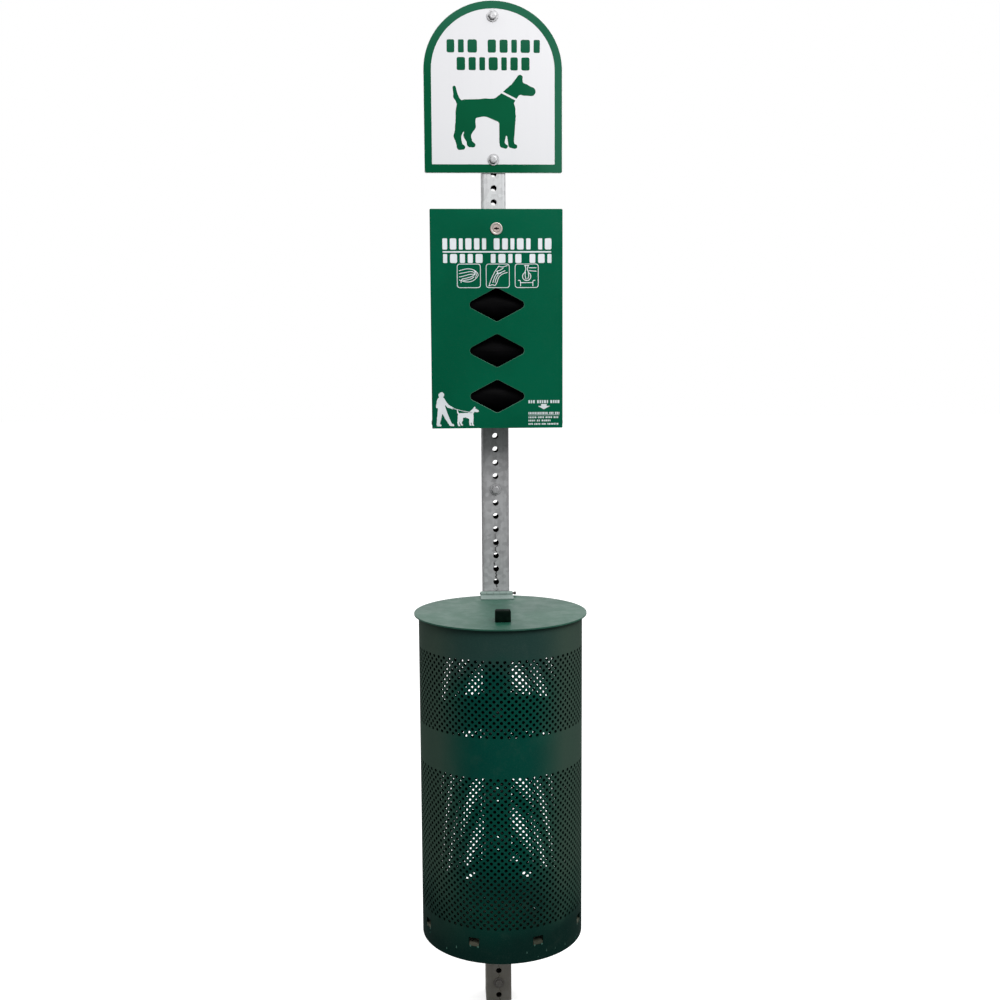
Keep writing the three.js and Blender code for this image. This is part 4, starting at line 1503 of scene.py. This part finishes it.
def back_window(z):
    """The bolt hole at the back of the can, with the columns it takes up."""
    return (HOLES_AROUND - 2, HOLES_AROUND + 2, circle(HOLES_AROUND * COLUMN, z, BOLT_HOLE, 24))


def courses(sheet, levels, windows=()):
    """Plain sheet between successive heights; the windows go in the second course."""
    for i, (low, high) in enumerate(zip(levels, levels[1:])):
        sheet.course(COLUMNS, low, high, windows if i == 1 else ())


def punched_band(sheet, top_row, rows):
    """The punched rows, squared off with plain sheet; returns the heights where that starts and ends."""
    margin = ROW_PITCH + 1 * MM
    bottom_row = top_row - (rows - 1) * ROW_PITCH
    punch_rows(sheet, top_row, rows)
    fill_teeth(sheet, zigzag(top_row, 1, 0), top_row + margin)
    fill_teeth(sheet, zigzag(bottom_row, -1, (rows - 1) % 2), bottom_row - margin)
    return bottom_row - margin, top_row + margin


def build_shell():
    """The shell is made in two lengths that meet in the plain band round the middle."""
    around = FULL_TURN * CAN_RADIUS
    beside_bolt = 12 * MM
    low_bolt, top_bolt = (centre(f"can_bolt_{end}").z for end in ENDS)

    upper = Sheet(around)
    band_low, band_high = punched_band(upper, *UPPER_ROWS)
    split = (band_low + low_bolt + beside_bolt) / 2
    courses(upper, [split, band_low])
    levels = [band_high, top_bolt - beside_bolt, top_bolt + beside_bolt, SHELL_HIGH.z]
    courses(upper, levels, [back_window(top_bolt)])
    upper.build("can_shell_upper", can_place, CAN_SHEET, CAN_GREEN, CAN_INSIDE, "can_shell")

    lower = Sheet(around)
    band_low, band_high = punched_band(lower, *LOWER_ROWS)
    levels = [band_high, low_bolt - beside_bolt, low_bolt + beside_bolt, split]
    courses(lower, levels, [back_window(low_bolt)])
    slots = []
    for turn in SLOT_TURNS:
        u = turn * CAN_RADIUS
        corners = rectangle(u - SLOT_HALF, SLOT_FOOT, u + SLOT_HALF, SLOT_FOOT + SLOT_HEIGHT)
        nearest = round(u / COLUMN)
        slots.append((nearest - 3, nearest + 3, rounded(corners, 1 * MM, 3)))
    courses(lower, [SHELL_LOW.z, SLOT_FOOT - 5 * MM, SLOT_FOOT + SLOT_HEIGHT + 4 * MM, band_low], slots)
    lower.build("can_shell_lower", can_place, CAN_SHEET, CAN_GREEN, CAN_INSIDE, "can_shell")


def build_floor():
    """The floor plate, whose eight tabs sit in the shell's slots."""
    disc = CAN_RADIUS - CAN_SHEET - 0.6 * MM
    tip = CAN_RADIUS - 0.4 * MM
    half_tab = SLOT_HALF - 1 * MM
    half_angle = math.asin(half_tab / disc)
    gap = FULL_TURN / len(SLOT_TURNS) - 2 * half_angle
    outline = []
    for turn in SLOT_TURNS:
        out = Vector((math.cos(turn), math.sin(turn)))
        across = Vector((-out.y, out.x)) * half_tab
        outline += [tuple(out * tip - across), tuple(out * tip + across)]
        for step in range(17):
            angle = turn + half_angle + gap * step / 16
            outline.append((disc * math.cos(angle), disc * math.sin(angle)))
    drains = [circle(u, v, 5 * MM, 20) for u, v in circle(0, 0, 60 * MM, 6, 0)]
    plate = flat_slab("can_floor_plate", outline, drains, facing_up(FLOOR_HIGH.z, 0, CAN_Y),
                      FLOOR_HIGH.z - FLOOR_LOW.z, TAB_GREEN, node="can_floor")
    soften(plate, 0.4 * MM)


def build_paint_runs():
    """Two drops of paint under each slot, and a few that dried on the bottom band."""
    rng = random.Random(7)
    points, faces = [], []
    for turn in SLOT_TURNS:
        for share in (-0.7, 0.75):
            u = turn * CAN_RADIUS + SLOT_HALF * share
            width, length = rng.uniform(1.5, 2.4) * MM, rng.uniform(1.4, 3.5) * MM
            add_drop(points, faces, u, SLOT_FOOT - 0.4 * MM, width, length)
    for _ in range(26):
        u = rng.uniform(0, FULL_TURN) * CAN_RADIUS
        v = rng.uniform(SHELL_LOW.z + 5 * MM, SLOT_FOOT - 6 * MM)
        add_drop(points, faces, u, v, rng.uniform(0.7, 1.5) * MM, rng.uniform(1.2, 5) * MM)
    make_object("can_paint_runs", points, faces, RUN_GREEN, "can_shell", stands_in=False)


def add_drop(points, faces, u, v, width, length):
    """Adds one low teardrop on the can's surface, its round end down, to a mesh being collected."""
    sides, rings = 12, 4
    start = len(points)
    for ring in range(rings):
        share = 1 - ring / rings
        height = 0.6 * MM * math.sin(math.pi / 2 * ring / rings) - 0.1 * MM
        for i in range(sides):
            a = FULL_TURN * i / sides
            reach = length if math.sin(a) > 0 else width
            narrow = 1 - 0.5 * max(math.sin(a), 0)
            across = width * share * narrow * math.cos(a)
            points.append(can_place(u + across, v + reach * share * math.sin(a), -height))
    points.append(can_place(u, v, -0.5 * MM))
    faces += between_rings(start, sides, rings)
    last = start + (rings - 1) * sides
    faces += [[last + i, last + (i + 1) % sides, len(points) - 1] for i in range(sides)]
    faces.append([start + i for i in reversed(range(sides))])


def build_saddles():
    """Blocks with one face hollowed to the can's radius."""
    hollow = CAN_RADIUS + 0.3 * MM
    for end in ENDS:
        node = f"can_saddle_{end}"
        low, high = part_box(node)
        across = [low.x + (high.x - low.x) * i / 12 for i in range(13)]
        outline = [(x, CAN_Y + math.sqrt(hollow**2 - x**2)) for x in reversed(across)]
        outline += [(low.x, high.y), (high.x, high.y)]
        block = flat_slab(f"{node}_block", outline, [], facing_up(high.z), high.z - low.z, CAN_GREEN,
                          node=node)
        cut_away(block, [bore(f"can_bolt_{end}", BOLT_HOLE, (0, 60 * MM, 0))])
        soften(block, 0.5 * MM)


def knuckle_spans(first):
    """The X ranges of every other knuckle, starting with the given one."""
    low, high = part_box("lid_leaf")
    pitch = (high.x - low.x) / 5
    return [(low.x + i * pitch + 0.25 * MM, low.x + (i + 1) * pitch - 0.25 * MM) for i in range(first, 5, 2)]


def along_x(start):
    """Places a (y, z) drawing across the X axis at the hinge line; depth runs back towards -X."""
    pin = centre("hinge_pin")
    return lambda u, v, depth: Vector((start - depth, pin.y + u, pin.z + v))


def rolled_leaf(node, plate_outline, plate_place, plate_depth, tongue, first, drills=()):
    """A hinge leaf: a plate, and knuckles rolled from its edge; tongue is a knuckle's (y, z) outline."""
    points, faces = [], []
    add_slab(points, faces, [plate_outline] + [list(reversed(d)) for d in drills], plate_place, plate_depth)
    pin_hole = list(reversed(circle(0, 0, 2.06 * MM, 24)))
    for start, end in knuckle_spans(first):
        add_slab(points, faces, [tongue, pin_hole], along_x(end), end - start)
    leaf = make_object(f"{node}_rolled", points, faces, HINGE_GREEN, node)
    soften(leaf, 0.3 * MM)


def build_hinge():
    """The leaf under the lid's back edge, and the strap behind the can that is the hinge's other leaf."""
    barrel = 4 * MM
    neck = 1.2 * MM
    pin = centre("hinge_pin")
    low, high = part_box("lid_leaf")
    sheet = 2 * MM
    plate = rounded(rectangle(low.x, low.y, high.x, pin.y - barrel - 0.5 * MM), 3 * MM)
    curve = arc_points(0, 0, barrel, -90, 180 + math.degrees(math.asin(0.5)), 24)
    tongue = [(-barrel - neck, -barrel)] + curve + [(-barrel - neck, sheet - barrel)]
    rolled_leaf("lid_leaf", plate, facing_up(low.z + sheet), sheet, tongue, 0)

    low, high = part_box("hinge_strap")
    strap = 3 * MM
    plate = rounded(rectangle(low.x, low.z, high.x, pin.z - barrel - 0.5 * MM), 3 * MM)
    drills = [circle(0, centre(f"can_bolt_{end}").z, BOLT_HOLE, 24) for end in ENDS]
    curve = arc_points(0, 0, barrel, 0, 270 - math.degrees(math.asin(0.25)), 24)
    tongue = [(barrel, -barrel - neck)] + curve + [(barrel - strap, -barrel - neck)]
    rolled_leaf("hinge_strap", plate, facing_front(high.y - strap), strap, tongue, 1, drills)


def build_hinge_pin():
    head, length = round_size("hinge_pin", ALONG_X)
    radius = 2 * MM
    profile = [
        (radius * 0.5, 0), (radius, 0.6 * MM), (radius, length - 3.5 * MM), (head, length - 3.2 * MM),
        (head, length - 0.8 * MM), (head * 0.6, length),
    ]
    turned_node("hinge_pin", "headed", ALONG_X, profile, DARK_STEEL, 32, False)


def build_lid():
    """A disc with its back cut straight along the hinge."""
    low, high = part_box("can_lid")
    radius = (high.x - low.x) / 2
    reach = math.asin((high.y - CAN_Y) / radius)
    outline = arc_points(0, 0, radius, 180 - math.degrees(reach), 360 + math.degrees(reach), 160)
    screw = centre("knob_screw")
    drill = circle(screw.x, screw.y - CAN_Y, 2.7 * MM, 20)
    lid = flat_slab("can_lid_disc", outline, [drill], facing_up(high.z, 0, CAN_Y), high.z - low.z, LID_GREEN,
                    node="can_lid")
    soften(lid, 0.7 * MM, 3)


def build_knob():
    """A square knob with eased edges."""
    low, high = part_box("lid_knob")
    middle = centre("lid_knob")
    half = (high - low) / 2
    rings = []
    for share, rise in ((0.97, 0.0), (1.0, 0.02), (0.985, 0.86), (0.95, 0.95), (0.86, 1.0)):
        corners = rectangle(-half.x * share, -half.y * share, half.x * share, half.y * share)
        z = low.z + (high.z - low.z) * rise
        rings.append([Vector((middle.x + u, middle.y + v, z)) for u, v in rounded(corners, 2.2 * MM, 5)])
    knob = loft("lid_knob_moulded", rings, KNOB_BLACK, node="lid_knob")
    soften(knob, 0.3 * MM)


def build_knob_screw():
    """The domed screw that holds the knob from below."""
    head, length = round_size("knob_screw", ALONG_Z)
    shank = 2.4 * MM
    profile = [
        (head * 0.45, 0), (head * 0.85, 0.6 * MM), (head, 2.1 * MM), (shank, 2.2 * MM),
        (shank, length - 0.8 * MM), (shank / 2, length),
    ]
    turned_node("knob_screw", "domed", ALONG_Z, profile, ZINC, 28, False)


def build_sky():
    """White to look at; it lights from behind and above more than from the front."""
    world = bpy.data.worlds.new("studio")
    bpy.context.scene.world = world
    world.use_nodes = True
    sky = Nodes(world.node_tree)
    direction = sky.add("SeparateXYZ", Vector=sky.add("TexCoord").outputs["Generated"]).outputs
    behind = sky.spread(direction["Y"], -0.9, 0.7, 0.22, 0.85, "LINEAR")
    above = sky.spread(direction["Z"], 0.0, 1.0, 0.0, 0.5, "LINEAR")
    seen = sky.add("LightPath").outputs["Is Camera Ray"]
    strength = sky.add("Mix", Factor=seen, A=sky.sum(behind, above), B=1.0).outputs[0]
    background = sky.tree.nodes["Background"]
    sky.feed(background.inputs["Color"], (1.0, 1.0, 1.0, 1.0))
    sky.feed(background.inputs["Strength"], strength)


def build_lamp():
    """One soft lamp above the camera."""
    place, target = Vector((0.9, -2.2, 2.9)), Vector((0, 0, 1.5))
    lamp = bpy.data.lights.new("key", "AREA")
    lamp.energy = 62
    lamp.size = 1.4
    light = add_to_scene("key", lamp)
    light.location = place
    light.rotation_euler = (target - place).to_track_quat("-Z", "Y").to_euler()


# ---- studio ----


def build_studio():
    size = 30.0
    floor = flat_slab("floor", rectangle(-size, -size, size, size), [], facing_up(0.0), 0.02, studio_floor())
    build_sky()
    build_lamp()


def build_camera():
    """A camera in front and a little to the left, turned slightly right and looking slightly down."""
    eye = Vector((-0.1004, POST_Y - 2.2634, 1.2488))
    turn_right, tilt_down, roll = 0.0495, 0.1188, -0.006
    camera = bpy.data.cameras.new("camera")
    camera.sensor_width = 36.0
    camera.lens = 1.184 * camera.sensor_width
    camera.shift_x = -0.0013
    camera.shift_y = 0.0142
    camera.clip_end = 200
    holder = add_to_scene("camera", camera)
    turn = Matrix.Rotation(-turn_right, 4, "Z") @ Matrix.Rotation(math.pi / 2 - tilt_down, 4, "X")
    holder.matrix_world = Matrix.Translation(eye) @ turn @ Matrix.Rotation(roll, 4, "Z")
    bpy.context.scene.camera = holder


build_post()
build_fasteners()
build_sign()
build_sign_print()
build_dispenser()
build_shell()
build_floor()
build_paint_runs()
build_saddles()
build_hinge()
build_hinge_pin()
build_lid()
build_knob()
build_knob_screw()
build_studio()
build_camera()
bpy.context.scene.view_settings.view_transform = "Standard"
